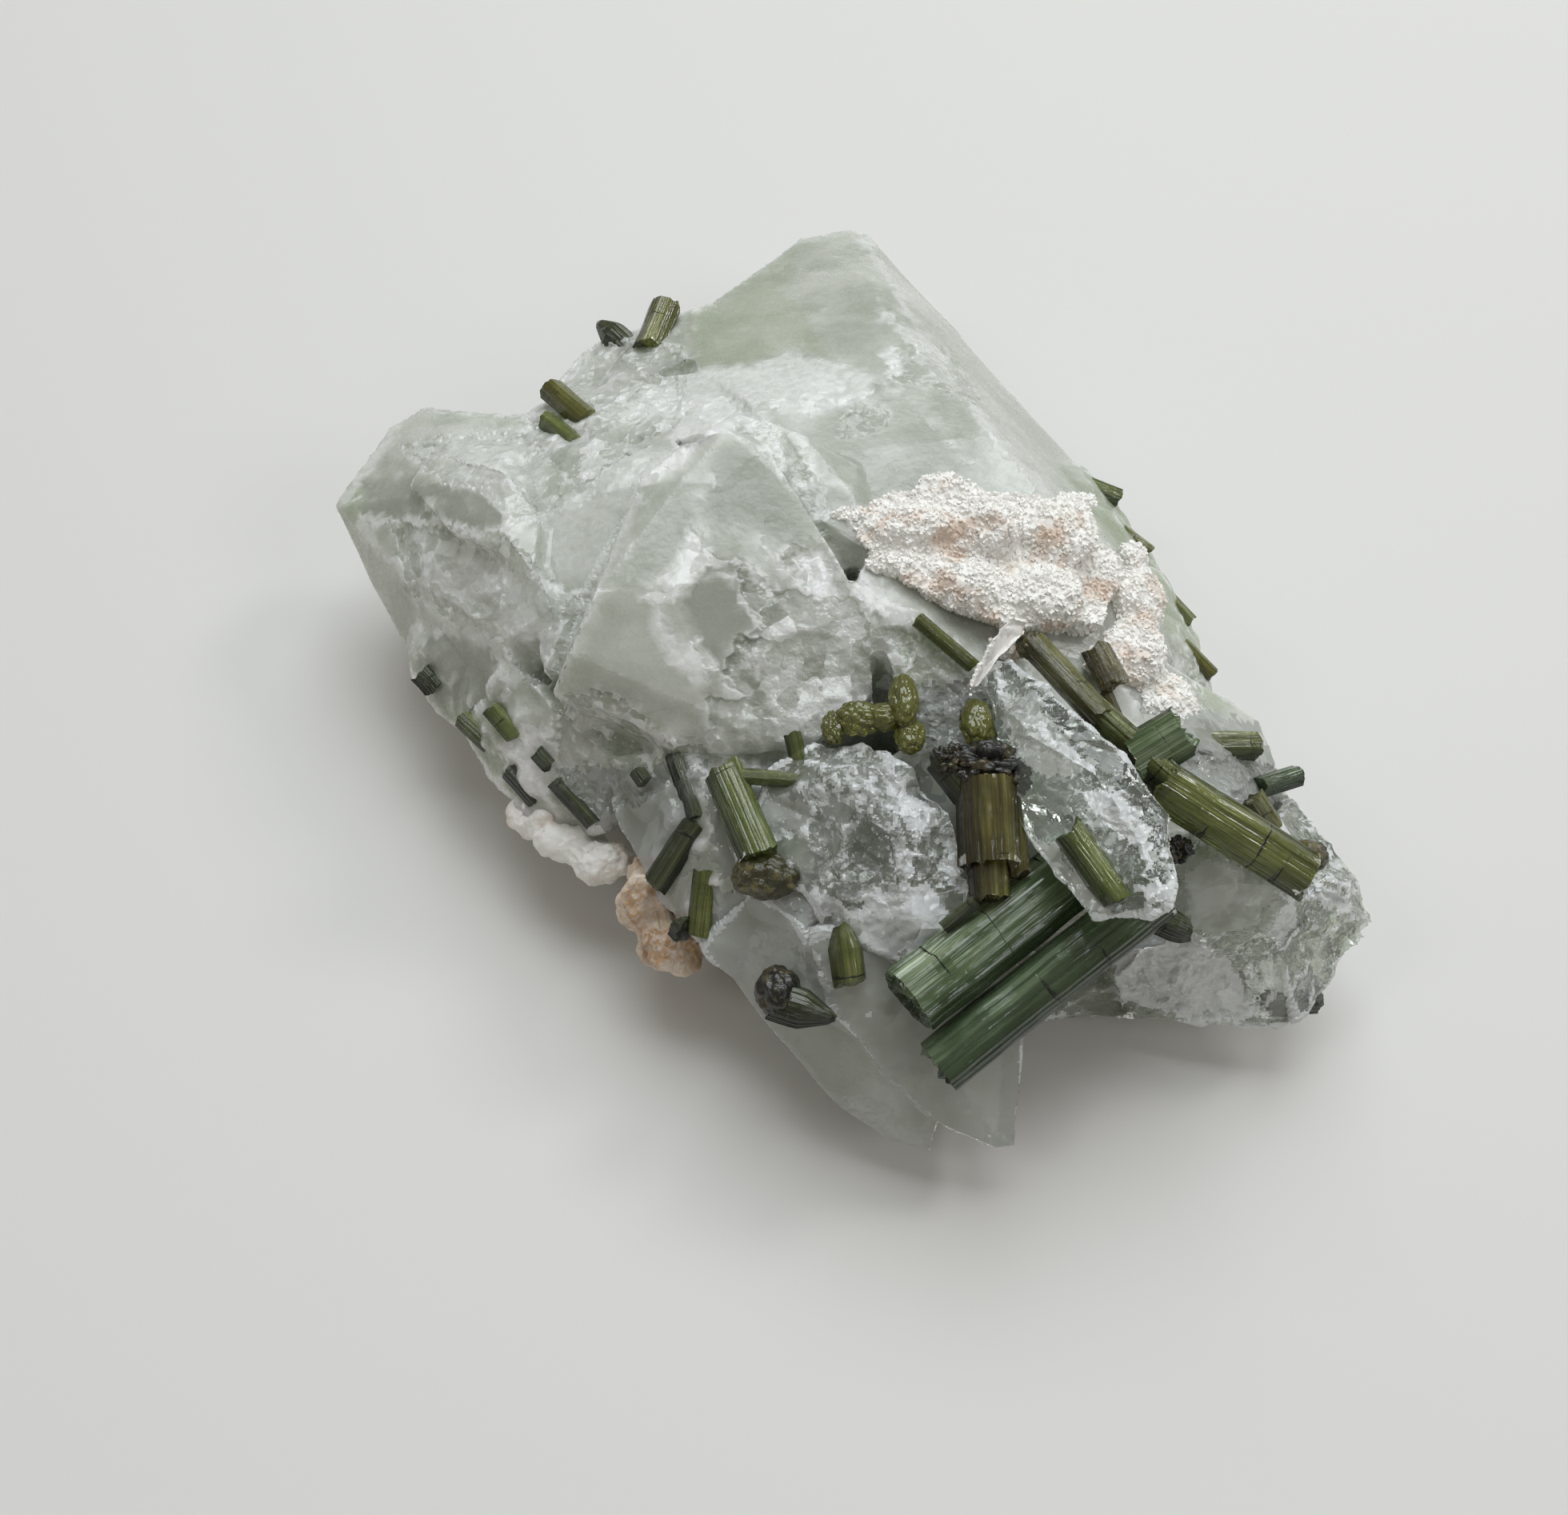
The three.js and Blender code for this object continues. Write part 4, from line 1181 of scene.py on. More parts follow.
# The milky main body: far block, middle crystal, lobe, valley, shelves and foot.
BODY_BLOCKS: dict[str, list[Point]] = {
    "back_block": [
        (4.2, 41, 10.3), (5.7, 40.6, 10.3), (1, 39.6, 10.8), (-2.5, 33.5, 12), (-5.5, 30, 13),
        (-6, 26, 14), (-5, 22, 15.5), (5.5, 31.5, 14), (6, 25.5, 16), (8.5, 20, 17.5),
        (-2, 17.5, 17.5), (4.5, 17.5, 17.8), (11.5, 14.5, 18), (0, 12.5, 18.3), (13.5, 11, 17.5),
        (8.7, 40, 7), (12, 36.5, 5.6), (17, 28.2, 4.8), (21.3, 20.6, 4.8), (23.4, 15.5, 4.8),
        (1.5, 38, 6), (-4, 31, 6), (3, 32, 0), (11, 31, 0), (17, 20, 0), (18, 10, 0),
        (-6, 8, 0), (-8, 24, 0), (5, 6, 18.2), (11, 7, 17.4),
    ],
    "right_shoulder": [
        (13.5, 11, 17.3), (16, 9.5, 16), (18.5, 9, 14), (21.3, 10.3, 10), (23.6, 15, 4.8),
        (24.2, 8.4, 5), (24.6, 5.4, 5.8), (19.5, 5.5, 12.8), (16.7, 3, 14), (11.5, 2.5, 15.4),
        (6.5, 4, 17.2), (6, 10, 18), (3.6, 4.6, 18.2), (4.6, 1.2, 16.8), (6.4, -1.4, 14.8),
        (18, 14, 0), (21, 2, 0), (6, 0, 0), (20, -1, 11), (3, 3, 6), (12, -2, 14.4),
    ],
    "middle_crystal": [
        (-3, 12, 21), (-0.8, 11, 20.5), (1, 8, 20), (3, 4.5, 19), (4.5, 2, 17.5), (4.6, -1, 15.4),
        (1, -3.3, 13.5), (-5.3, -2.3, 12.7), (-10, -0.6, 12.7), (-12, 0, 14), (-5.4, 11.5, 20.3),
        (-7.5, 9.5, 19.6), (-9.6, 3, 18.3), (-11, 0.5, 16.8), (-10, 4, 0), (-6, 14, 0),
        (4, 12, 0), (6, 2, 0), (-2, -2, 0), (-11.5, 5, 12), (-8, 12, 13),
    ],
    "step_behind": [
        (-2.5, 14.5, 19.4), (1, 13, 19.6), (-4.5, 13, 19.6), (3.5, 9, 19.3), (5, 5, 18.4),
        (0, 8, 12), (-6, 13.5, 18.4), (-2, 16.5, 17.2), (4, 12, 18.4), (-3, 8, 12), (5, 8, 12),
    ],
    "left_lobe": [
        (-26.8, 16.6, 10), (-24, 22, 11), (-21.7, 23, 11.8), (-20, 22.5, 12), (-15, 21, 13),
        (-16.6, 13, 15.6), (-14.5, 9.6, 16), (-12, 4.4, 15.6), (-14.5, 4.2, 13.4), (-21.7, 10.3, 11),
        (-26, 15.5, 7.5), (-22.8, 10, 6), (-20.8, 6, 6.2), (-17.2, 2, 5.4), (-16, 10, 0),
        (-12, 18, 0), (-8, 8, 0), (-11, 2, 0), (-22, 20, 5.5),
    ],
    "lobe_knob": [
        (-18, 10, 14.6), (-14.5, 8, 16.6), (-13, 10.5, 16.4), (-15.5, 13.5, 16.4), (-19, 14, 14.8),
        (-16, 10, 10), (-13, 6, 16), (-12.5, 8, 12), (-21.5, 15, 13.4), (-20.5, 18, 13.4),
    ],
    "valley": [
        (-15.5, 14, 14.6), (-5.2, 14.3, 17), (-9, 9.4, 16.2), (-15.4, 21, 13), (-11, 24, 13),
        (-5, 22, 15.5), (-1, 17.5, 17.3), (-12, 20, 0), (-2, 24, 0), (-2, 8, 0), (-10, 6, 0),
        (-13, 7, 15), (-11.6, 3.6, 14.8), (-12.6, 1.6, 13.4), (-9, 3, 12),
    ],
    "top_left_shelf": [
        (-14.6, 24.8, 11.2), (-13, 27.4, 11.4), (-9.5, 28, 11.8), (-5.5, 30, 12.9), (-5, 24, 15),
        (-11, 22, 13.8), (-15, 21, 12.5), (-10, 24, 0), (-2, 29, 0), (-4, 20, 0), (-12.5, 26, 6),
    ],
    "left_foot": [
        (-17.2, 2, 6.5), (-14, -2, 6), (-12, 0.3, 12), (-15, 4, 12.5), (-10.5, -4, 6.5),
        (-8, 4, 2), (-12, 6, 0), (-9, 0, 0), (-6, -3, 10), (-9, -2, 11),
    ],
    "front_shelf": [
        (-10, -1, 10.5), (-5, -2.5, 12), (1, -3.5, 12.6), (-8, -6, 8), (-6.2, -8.3, 7.6),
        (-4, -10.5, 7), (-1, -9.5, 11), (1, -12, 11), (-6, 0, 0), (-3, -6, 0), (6, -7, 0),
        (6, 2, 0), (6, -3, 13.5), (-3, -5, 12), (3, -11, 4), (-2, -10, 4),
    ],
    "foot": [
        (-11, 6, 0), (-8.5, 1, 0), (-3, -6, 0), (8, -9, 0), (20, -8.5, 0), (22, 2, 0), (18, 14, 0),
        (4, 20, 0), (-9, 14, 0), (-8, 3, 4), (-2, -4, 4), (18, -6, 4), (20, 2, 4), (4, 16, 4),
    ],
    "lump_bridge": [
        (6, -2, 14.5), (9, -1, 15.6), (9.5, -5, 14), (9.5, -10, 10), (6, -10, 9), (5, -3, 8),
        (12, -10, 8), (4, -8, 0), (12, -8, 0), (12, 2, 0), (6, 2, 0), (13, 2, 14),
    ],
    "right_field": [
        (9, 0, 15.4), (14, 1.5, 14.8), (19.5, 4, 12.6), (21, -2, 11.6), (24, -5, 10.6),
        (19, -7.5, 12), (14, -7, 12), (12, -10.5, 9.5), (19, -10, 9.5), (25, 2, 8), (27, 3.5, 6.5),
        (26.5, 1, 6), (27.6, -2, 7), (25, -6, 6), (10, -9, 0), (20, -8, 0), (22, 2, 0), (8, 2, 0),
        (25.4, 4.4, 6.8),
    ],
}
BODY_SCOOPS = [
    ((-9.5, 16.5, 23.0), (7.5, 4.2, 7.4), 20.0), ((-19.0, 5.0, 17.0), (4.4, 3.0, 5.4), 30.0),
    ((1.5, 26.0, 24.0), (6.4, 3.6, 7.8), 8.0), ((-9.5, -4.8, 15.6), (3.6, 3.0, 5.0), 20.0),
    ((-2.5, -7.0, 16.4), (2.6, 2.4, 4.0), 0.0), ((23.5, -1.5, 15.2), (3.0, 2.6, 4.0), 10.0),
]
MILKY_BODY = QuartzPiece(
    name="quartz_milky_body", clarity=Clarity.MILKY, blocks=BODY_BLOCKS, voxel=0.18, scoops=BODY_SCOOPS,
    patches=BODY_PATCHES, crests=BODY_CRESTS, scallop_depth=0.3, chip=1.9, chip_depth=0.26,
    seed=3, replaces=("quartz_mass",),
)


# Patches of the clear lump in the middle of the front.
LUMP_PATCHES: tuple[Patch, ...] = (
    Patch(WHITE, (
        (1080, 1112), (1130, 1104), (1182, 1112), (1192, 1150), (1162, 1190), (1100, 1200), (1062, 1160)), 0.9),
    Patch(WHITE, ((985, 1110), (1020, 1104), (1052, 1122), (1078, 1150), (1040, 1146), (1000, 1134)), 0.95, 0.1),
    Patch(BROKEN, ((1090, 950), (1160, 1000), (1200, 1050), (1210, 1110), (1150, 1100), (1110, 1100), (1100, 1020))),
    Patch(BROKEN, ((1020, 990), (1090, 1000), (1100, 1100), (1040, 1090), (1010, 1040)), 0.8),
    # Painted shade: darkens this patch of the lump.
    Patch(DARK, ((1050, 1000), (1100, 1000), (1104, 1102), (1060, 1080))),
    Patch(WHITE, ((946, 985), (1026, 1002), (1002, 1040), (958, 1050)), 0.45),
    Patch(WHITE, ((1100, 950), (1130, 965), (1164, 1010), (1172, 1040), (1148, 1036), (1120, 1000)), 0.9),
    Patch(WHITE, ((1176, 1066), (1196, 1062), (1208, 1100), (1196, 1112), (1180, 1096)), 0.9),
    Patch(WHITE, ((1120, 1050), (1140, 1044), (1150, 1080), (1136, 1098), (1122, 1084)), 0.8),
)


# Bright edges of the clear lump.
LUMP_CRESTS: tuple[Crest, ...] = (
    Crest(((1110, 950), (1160, 1000), (1198, 1050), (1214, 1120), (1214, 1160), (1180, 1195), (1100, 1205)), 3, 0.9),
    Crest(((946, 1050), (1002, 1040), (1026, 1002)), 2, 0.8),
    Crest(((1000, 985), (1060, 995), (1110, 1000)), 2.5, 0.8),
)


# Patches of the clear blade.
BLADE_PATCHES: tuple[Patch, ...] = (
    Patch(WHITE, ((1250, 850), (1300, 870), (1370, 950), (1340, 980), (1280, 960), (1245, 900)), 0.4),
    Patch(WHITE, ((1350, 985), (1400, 990), (1450, 1050), (1440, 1090), (1400, 1040), (1360, 1020)), 0.9),
    Patch(BROKEN, ((1340, 960), (1400, 980), (1460, 1050), (1455, 1100), (1400, 1080), (1345, 1010))),
    Patch(BROKEN, ((1250, 860), (1300, 880), (1330, 940), (1280, 950), (1250, 900)), 0.7),
    # Painted shade: darkens this patch of the blade.
    Patch(DARK, ((1305, 985), (1345, 985), (1350, 1040), (1300, 1030)), 0.9),
    Patch(WHITE, ((1284, 1050), (1310, 1045), (1392, 1138), (1382, 1152), (1290, 1072)), 0.5),
    Patch(WHITE, ((1418, 1112), (1440, 1098), (1466, 1120), (1466, 1130))),
)


# Bright edges of the clear blade.
BLADE_CRESTS: tuple[Crest, ...] = (
    Crest(((1250, 850), (1330, 930), (1400, 990), (1450, 1040), (1462, 1055), (1468, 1125)), 3),
    Crest(((1284, 1050), (1290, 1072), (1380, 1152), (1392, 1140)), 1.6, 0.7),
)


# Patches of the clear right end.
RIGHT_PATCHES: tuple[Patch, ...] = (
    Patch(WHITE, ((1478, 1085), (1540, 1062), (1600, 1110), (1582, 1150), (1530, 1190), (1490, 1150)), 0.35),
    Patch(GREEN, ((1500, 1150), (1590, 1120), (1580, 1180), (1520, 1212))),
    Patch(BROKEN, ((1390, 1160), (1450, 1150), (1540, 1210), (1580, 1260), (1500, 1275), (1400, 1240))),
    # The toe's bright bluish white is partly its own white veils and partly painted sparkle, light caught on its
    # facets.
    Patch(WHITE, (
        (1384, 1176), (1412, 1152), (1470, 1160), (1530, 1206), (1572, 1262), (1480, 1276), (1392, 1254)), 0.95),
    Patch(BROKEN, ((1620, 1090), (1690, 1110), (1715, 1160), (1650, 1230), (1590, 1200), (1610, 1130)), 0.9),
    Patch(WHITE, ((1640, 1095), (1690, 1115), (1712, 1155), (1670, 1140), (1640, 1120)), 0.9),
    Patch(WHITE, ((1404, 1216), (1430, 1196), (1452, 1236), (1436, 1262), (1402, 1254))),
    Patch(WHITE, ((1486, 1216), (1522, 1236), (1542, 1262), (1500, 1266), (1482, 1246))),
    Patch(WHITE, ((1600, 1130), (1622, 1118), (1632, 1160), (1612, 1196), (1594, 1176))),
    # Painted shade: darkens this patch of the right end.
    Patch(DARK, ((1590, 1180), (1640, 1170), (1650, 1230), (1600, 1240)), 0.8),
)


# Bright edges of the clear right end.
RIGHT_CRESTS: tuple[Crest, ...] = (
    Crest(((1560, 900), (1640, 1010), (1700, 1100), (1714, 1160)), 3, 0.7),
    Crest(((1300, 1272), (1400, 1280), (1440, 1262), (1520, 1275), (1580, 1262)), 3.5, 0.8),
)


# The clearer crystals at the front and right.
CLEAR_LUMP = QuartzPiece(
    name="quartz_clear_lump", clarity=Clarity.CLOUDY, voxel=0.14, scallop=3.0, scallop_depth=0.75,
    chip_depth=0.3, seed=9, calm=0.25, veil=0.6, patches=LUMP_PATCHES, crests=LUMP_CRESTS,
    blocks={
        "lump": [
            (-0.6, -4.6, 13.7), (1.5, -3.6, 14.8), (4.3, -3.8, 15.2), (6.5, -5.3, 15.3), (8.3, -8, 14.8),
            (9, -11, 13.4), (8.3, -13, 12), (6, -14, 11), (3.8, -12.8, 11.3), (2, -11, 12),
            (-0.6, -9.6, 12), (-1.6, -7, 12.4), (2, -6.5, 15.3), (5, -9, 15.4), (5.5, -12, 13.3),
            (0, -6, 6), (6, -11, 6), (9, -8, 6), (3, -4, 6), (1, -9, 5), (8, -12, 8.5),
        ],
    },
    zones=[
        Zone((3.6, -5, 15), 2.4, 0.8), Zone((6.6, -8, 15), 2.2, 0.8), Zone((4.6, -10.6, 13.4), 2, 0.7),
        Zone((1.5, -10.6, 12), 1.6, 0.9),
    ],
)
FRONT_POINTS = QuartzPiece(
    name="quartz_front_points", clarity=Clarity.FROSTED, voxel=0.15, scallop=4.6, scallop_depth=0.22,
    chip=1.1, chip_depth=0.08, seed=14, calm=0.05,
    blocks={
        "left_point": [
            (-4, -11, 7.6), (-0.8, -14.7, 5.6), (2.8, -18.4, 3.6), (5, -19.7, 2.9), (7.4, -20.3, 2.9),
            (7.8, -19.4, 4.4), (4.5, -17.3, 6.6), (2, -14.5, 8.6), (0.8, -11.5, 11), (-1.5, -9.5, 10.8),
            (-2.5, -11.4, 5), (2, -16, 2.4), (6.5, -19.5, 1.6), (6, -11, 2), (0, -8, 2.5), (7, -14, 4),
        ],
        "right_point": [
            (2.2, -14.8, 8.8), (4.6, -17.6, 7), (7.9, -20, 5), (10.4, -20.7, 4), (11.6, -20.5, 4),
            (11.8, -17, 6.4), (12, -13.8, 8.8), (11, -11, 10.5), (5, -11.5, 11.2), (1.5, -12, 10.8),
            (4.5, -16.5, 4.8), (10.8, -19.6, 2.8), (11, -12, 3), (4, -9, 3),
        ],
    },
    zones=[Zone((4, -19, 3.4), 1.8, 0.6), Zone((0, -12.5, 8), 2, 0.5), Zone((10.8, -19.6, 3.8), 1.2, 0.3)],
)
RIGHT_END = QuartzPiece(
    name="quartz_right_end", clarity=Clarity.CLOUDY, voxel=0.15, scallop=3.2, scallop_depth=0.75,
    chip=1.5, chip_depth=0.34, seed=23, calm=0.15, veil=0.45, patches=RIGHT_PATCHES, crests=RIGHT_CRESTS,
    blocks={
        "round_crystal": [
            (18.8, -8, 12.4), (21, -6.3, 12.8), (24, -7.3, 12), (26.5, -9, 10.6), (27, -11, 9),
            (25, -12.4, 8.6), (21.5, -12.3, 9), (19, -11, 10.4), (17.5, -9, 10), (20, -7, 4),
            (25, -9, 4), (24, -12, 5), (19, -11, 5), (22, -9.3, 12.4),
        ],
        "horn": [
            (27.6, -2, 7.4), (29, -5, 8.4), (30.1, -7.6, 8.3), (30.6, -9.4, 7.3), (30, -10.6, 6),
            (28.5, -11.8, 5.4), (26.3, -13.9, 4.3), (25, -12, 8.4), (27, -9, 10.4), (25.5, -5, 9.5),
            (24, -9, 2.4), (24, -3, 3), (28, -5, 4.8), (27, -12.5, 3.6), (22, -6, 1.5),
        ],
        "toe": [
            (26, -13.8, 4), (24, -13.6, 3), (20, -13.6, 3), (17.8, -13.3, 2.4), (16, -11, 8),
            (20, -11, 9.4), (25, -12, 8), (16, -8, 1.2), (24, -9, 1.6), (26, -11, 3), (18, -9, 0.8),
        ],
        "slab": [
            (13, -13, 2.2), (18.2, -13.4, 2.4), (19, -12, 3.6), (12.6, -12, 4.4), (12, -9, 0.8),
            (18.5, -9, 0.8), (13, -10, 5),
        ],
    },
    zones=[
        Zone((28.6, -8, 8.6), 2.6, 0.9), Zone((27.4, -12, 6), 2.4, 0.9), Zone((22, -12.6, 6.4), 2.8),
        Zone((18, -12, 6), 2.6), Zone((28, -4, 7.4), 2, 0.6),
    ],
    scoops=[((22.6, -14.2, 9.6), (3.2, 2.6, 3.6), 10.0), ((15.6, -13.2, 9.4), (3.4, 3.0, 4.6), 0.0)],
)
BLADE = QuartzPiece(
    name="quartz_blade", clarity=Clarity.CLEAR, voxel=0.11, scallop=2.6, scallop_depth=0.42,
    chip=1.0, chip_depth=0.18, seed=31, veil=0.5, patches=BLADE_PATCHES, crests=BLADE_CRESTS,
    blocks={
        "blade": [
            (9.8, -0.6, 16.6), (11.2, 0.2, 16.8), (13.3, -2.8, 17.2), (16, -6, 17.6), (18.1, -9.4, 17.6),
            (17.7, -12.6, 17.3), (17.4, -13.9, 16.8), (14.2, -13.6, 15.4), (12.6, -11.4, 15.2),
            (11.2, -8.4, 15.3), (10.6, -6.2, 15.6), (10, -3.4, 16.1), (14.6, -7.6, 18.2),
            (11.6, -4.6, 17.4), (16.2, -11, 17.9), (10.6, -2, 13.8), (12.4, -8.6, 13.8),
            (15, -12.4, 14.6), (16.6, -9.2, 14.8), (14, -4, 14),
        ],
    },
    zones=[Zone((11.6, -2.4, 17), 2.2, 0.8), Zone((16.6, -10, 17.6), 1.5, 0.6), Zone((13, -6, 17.4), 1.2, 0.4)],
)
QUARTZ_PIECES = (MILKY_BODY, CLEAR_LUMP, FRONT_POINTS, RIGHT_END, BLADE)


@dataclass(frozen=True)
class Prism:
    """One green prism from end to end. Millimetres; tips draw in over their length."""

    start: Point
    end: Point
    width: float
    turn: float = 0.0
    start_tip: float = 0.0
    end_tip: float = 0.0
    # turn from the upper side to the side that is painted pale as painted light
    lit_side: float = -0.06
    hue: "Hue | None" = None


@dataclass(frozen=True)
class Knob:
    """One knobbly lump: its middle and half sizes in millimetres."""

    at: Point
    half: Point
    knobs: float = 1.0


class ShapeTree:
    """A Geometry Nodes tree with named inputs that draws one kind of shape."""

    NAME = "shape"
    INPUTS: dict[str, str] = {}  # each input's name and the kind of its socket

    def __init__(self) -> None:
        """Builds the tree and keeps its socket names."""
        self.tree = bpy.data.node_groups.new(self.NAME, "GeometryNodeTree")
        face = self.tree.interface
        face.new_socket(name="Geometry", in_out="OUTPUT", socket_type="NodeSocketGeometry")
        self.socket = {
            name: face.new_socket(name=name, in_out="INPUT", socket_type="NodeSocket" + kind).identifier
            for name, kind in self.INPUTS.items()
        }
        w = Wires(self.tree)
        given = w.node("NodeGroupInput").outputs
        real = w.node("GeometryNodeRealizeInstances", {"Geometry": self.wire(w, given)})
        dressed = w.node("GeometryNodeSetMaterial", {"Geometry": real.outputs[0], "Material": given["Material"]})
        w.node("NodeGroupOutput", {0: dressed.outputs[0]})

    def wire(self, w: Wires, given: bpy.types.bpy_prop_collection) -> NodeSocket:
        """Joins the nodes that make the shape.

        Args:
            w: the wiring helper.
            given: the tree's inputs.

        Returns:
            The geometry.
        """
        raise NotImplementedError

    def run(self, base: Mesh, values: dict[str, object]) -> Mesh:
        """Runs the tree on a mesh.

        Args:
            base: the mesh that it starts from, which may be empty.
            values: a value for each input.

        Returns:
            The plain mesh that it draws, in millimetres.
        """
        thing = new_object(self.NAME, base)
        made = thing.modifiers.new(self.NAME, "NODES")
        made.node_group = self.tree
        for name, value in values.items():
            made[self.socket[name]] = value
        return applied(thing)


class PrismTree(ShapeTree):
    """Draws one grooved prism between two points."""

    NAME = "grooved_prism"
    INPUTS = {
        "Start": "Vector", "End": "Vector", "Width": "Float", "Turn": "Float", "Lit Side": "Float",
        "Start Tip": "Float", "End Tip": "Float", "Groove": "Float", "Facets": "Int", "Sides": "Int",
        "Rings": "Int", "Seed": "Int", "Uneven": "Float", "Material": "Material",
    }
    CAP_RINGS = 6  # rings that close each end
    BOLD = 1.9  # mm; wider prisms have more, flatter facets
    RING_STEP = 0.4  # mm between rings
    GROOVE = 0.045  # depth of the grooves, as a share of the radius

    def section(self, w: Wires, given: bpy.types.bpy_prop_collection) -> NodeSocket:
        """The section across the prism: an uneven polygon, rounded three-sided, with fine grooves.

        Args:
            w: the wiring helper.
            given: the tree's inputs.

        Returns:
            The section's curve.
        """
        circle = w.node("GeometryNodeCurvePrimitiveCircle", {"Resolution": given["Facets"], "Radius": 1.0})
        factor = w.node("GeometryNodeSplineParameter").outputs["Factor"]
        lean = w.math("COSINE", w.math("MULTIPLY", factor, 6 * math.pi))
        out = self.chance(w, given["Seed"])
        level = w.math("MULTIPLY_ADD", w.math("SUBTRACT", out, 0.5), given["Uneven"], 1.0)
        swell = w.math("MULTIPLY_ADD", lean, 0.06, level)
        shift = self.chance(w, w.math("ADD", given["Seed"], 5.0))
        place = w.node("GeometryNodeInputPosition").outputs[0]
        swing = w.math("MULTIPLY_ADD", shift, 0.36, -0.18)
        swung = w.node("ShaderNodeVectorRotate", {"Vector": place, "Axis": (0.0, 0.0, 1.0), "Angle": swing})
        scaled = w.scaled(swung.outputs[0], w.math("MULTIPLY", swell, w.math("MULTIPLY", given["Width"], 0.5)))
        polygon = w.node("GeometryNodeSetPosition", {"Geometry": circle.outputs[0], "Position": scaled})
        fine = w.node("GeometryNodeResampleCurve", {"Curve": polygon.outputs[0], "Count": given["Sides"]})
        depth = self.chance(w, w.math("ADD", given["Seed"], 9.0))
        cut = w.math("MULTIPLY", w.math("POWER", depth, 3.0), given["Groove"])
        again = w.node("GeometryNodeInputPosition").outputs[0]
        grooved = w.scaled(again, w.math("SUBTRACT", 1.0, cut))
        cut_in = w.node("GeometryNodeSetPosition", {"Geometry": fine.outputs[0], "Position": grooved})
        spin = w.node("ShaderNodeCombineXYZ", {2: given["Turn"]})
        turned = w.node("GeometryNodeTransform", {"Geometry": cut_in.outputs[0], "Rotation": spin.outputs[0]})
        return turned.outputs[0]

    @staticmethod
    def chance(w: Wires, seed: NodeSocket) -> NodeSocket:
        """A fixed number from 0 to 1 for each point."""
        index = w.node("GeometryNodeInputIndex").outputs[0]
        return w.node("FunctionNodeRandomValue", {"ID": index, "Seed": seed}, data_type="FLOAT").outputs[1]

    def wire(self, w: Wires, given: bpy.types.bpy_prop_collection) -> NodeSocket:
        """Joins the nodes that draw the prism.

        Args:
            w: the wiring helper.
            given: the tree's inputs.

        Returns:
            The geometry.
        """
        line = w.node("GeometryNodeCurvePrimitiveLine", {"Start": given["Start"], "End": given["End"]})
        rings = w.node("GeometryNodeResampleCurve", {"Curve": line.outputs[0], "Count": given["Rings"]})
        factor = w.node("GeometryNodeSplineParameter")
        spine = w.node("GeometryNodeCaptureAttribute", {"Geometry": rings.outputs[0]})
        spine.capture_items.new("FLOAT", "Along")
        w.tree.links.new(factor.outputs["Factor"], spine.inputs["Along"])
        tube = w.node(
            "GeometryNodeCurveToMesh",
            {"Curve": spine.outputs["Geometry"], "Profile Curve": self.section(w, given), "Fill Caps": False},
        )
        # The first and last rings close the ends; the rest share the length.
        step = w.math("MULTIPLY", spine.outputs["Along"], w.math("SUBTRACT", given["Rings"], 1.0))
        last = w.math("SUBTRACT", given["Rings"], 1.0)
        inner = w.math("SUBTRACT", last, 2.0 * self.CAP_RINGS)
        t = self.clamped(w, w.math("DIVIDE", w.math("SUBTRACT", step, float(self.CAP_RINGS)), inner))
        close_start = self.clamped(w, w.math("DIVIDE", step, float(self.CAP_RINGS)))
        close_end = self.clamped(w, w.math("DIVIDE", w.math("SUBTRACT", last, step), float(self.CAP_RINGS)))
        closing = w.math("MULTIPLY", close_start, close_end)
        span = w.vector("SUBTRACT", given["End"], given["Start"])
        length = w.measure("LENGTH", span)
        from_start = w.math("MULTIPLY", t, length)
        from_end = w.math("SUBTRACT", length, from_start)
        old_axis = self.between(w, spine.outputs["Along"], given)
        axis = self.between(w, t, given)
        here = w.node("GeometryNodeInputPosition").outputs[0]
        arm = w.vector("SUBTRACT", here, old_axis)
        start_width = self.drawn_in(w, from_start, given["Start Tip"])
        keep = w.math("MULTIPLY", start_width, self.drawn_in(w, from_end, given["End Tip"]))
        body = w.vector("ADD", axis, arm)
        uneven = w.noise(body, 0.35, 1.0)
        keep = w.math("MULTIPLY", keep, w.math("MULTIPLY_ADD", uneven, 0.2, 0.9))
        narrowed = w.scaled(arm, w.math("MULTIPLY", keep, closing))
        drawn = w.vector("ADD", axis, narrowed)
        # Broken ends: flat chips that lean their own way.
        along = w.vector("NORMALIZE", span)
        cells = w.node("ShaderNodeTexVoronoi", {"Vector": drawn, "Scale": 1.1})
        ragged = w.noise(drawn, 1.6, 3.0)
        chip = w.math("ADD", w.math("MULTIPLY", cells.outputs["Distance"], 0.5), w.math("MULTIPLY", ragged, 0.8))
        near_start = w.ramp(from_start, 0.0, 0.5, 1.0, 0.0)
        near_end = w.ramp(from_end, 0.0, 0.5, 1.0, 0.0)
        depth = w.math("MULTIPLY", w.math("SUBTRACT", chip, 0.35), given["Width"])
        push = w.math("MULTIPLY", w.math("SUBTRACT", near_start, near_end), depth)
        slid = w.scaled(along, w.math("MULTIPLY", push, 0.6))
        ended = w.vector("ADD", drawn, slid)
        shaped = w.node("GeometryNodeSetPosition", {"Geometry": tube.outputs[0], "Position": ended})
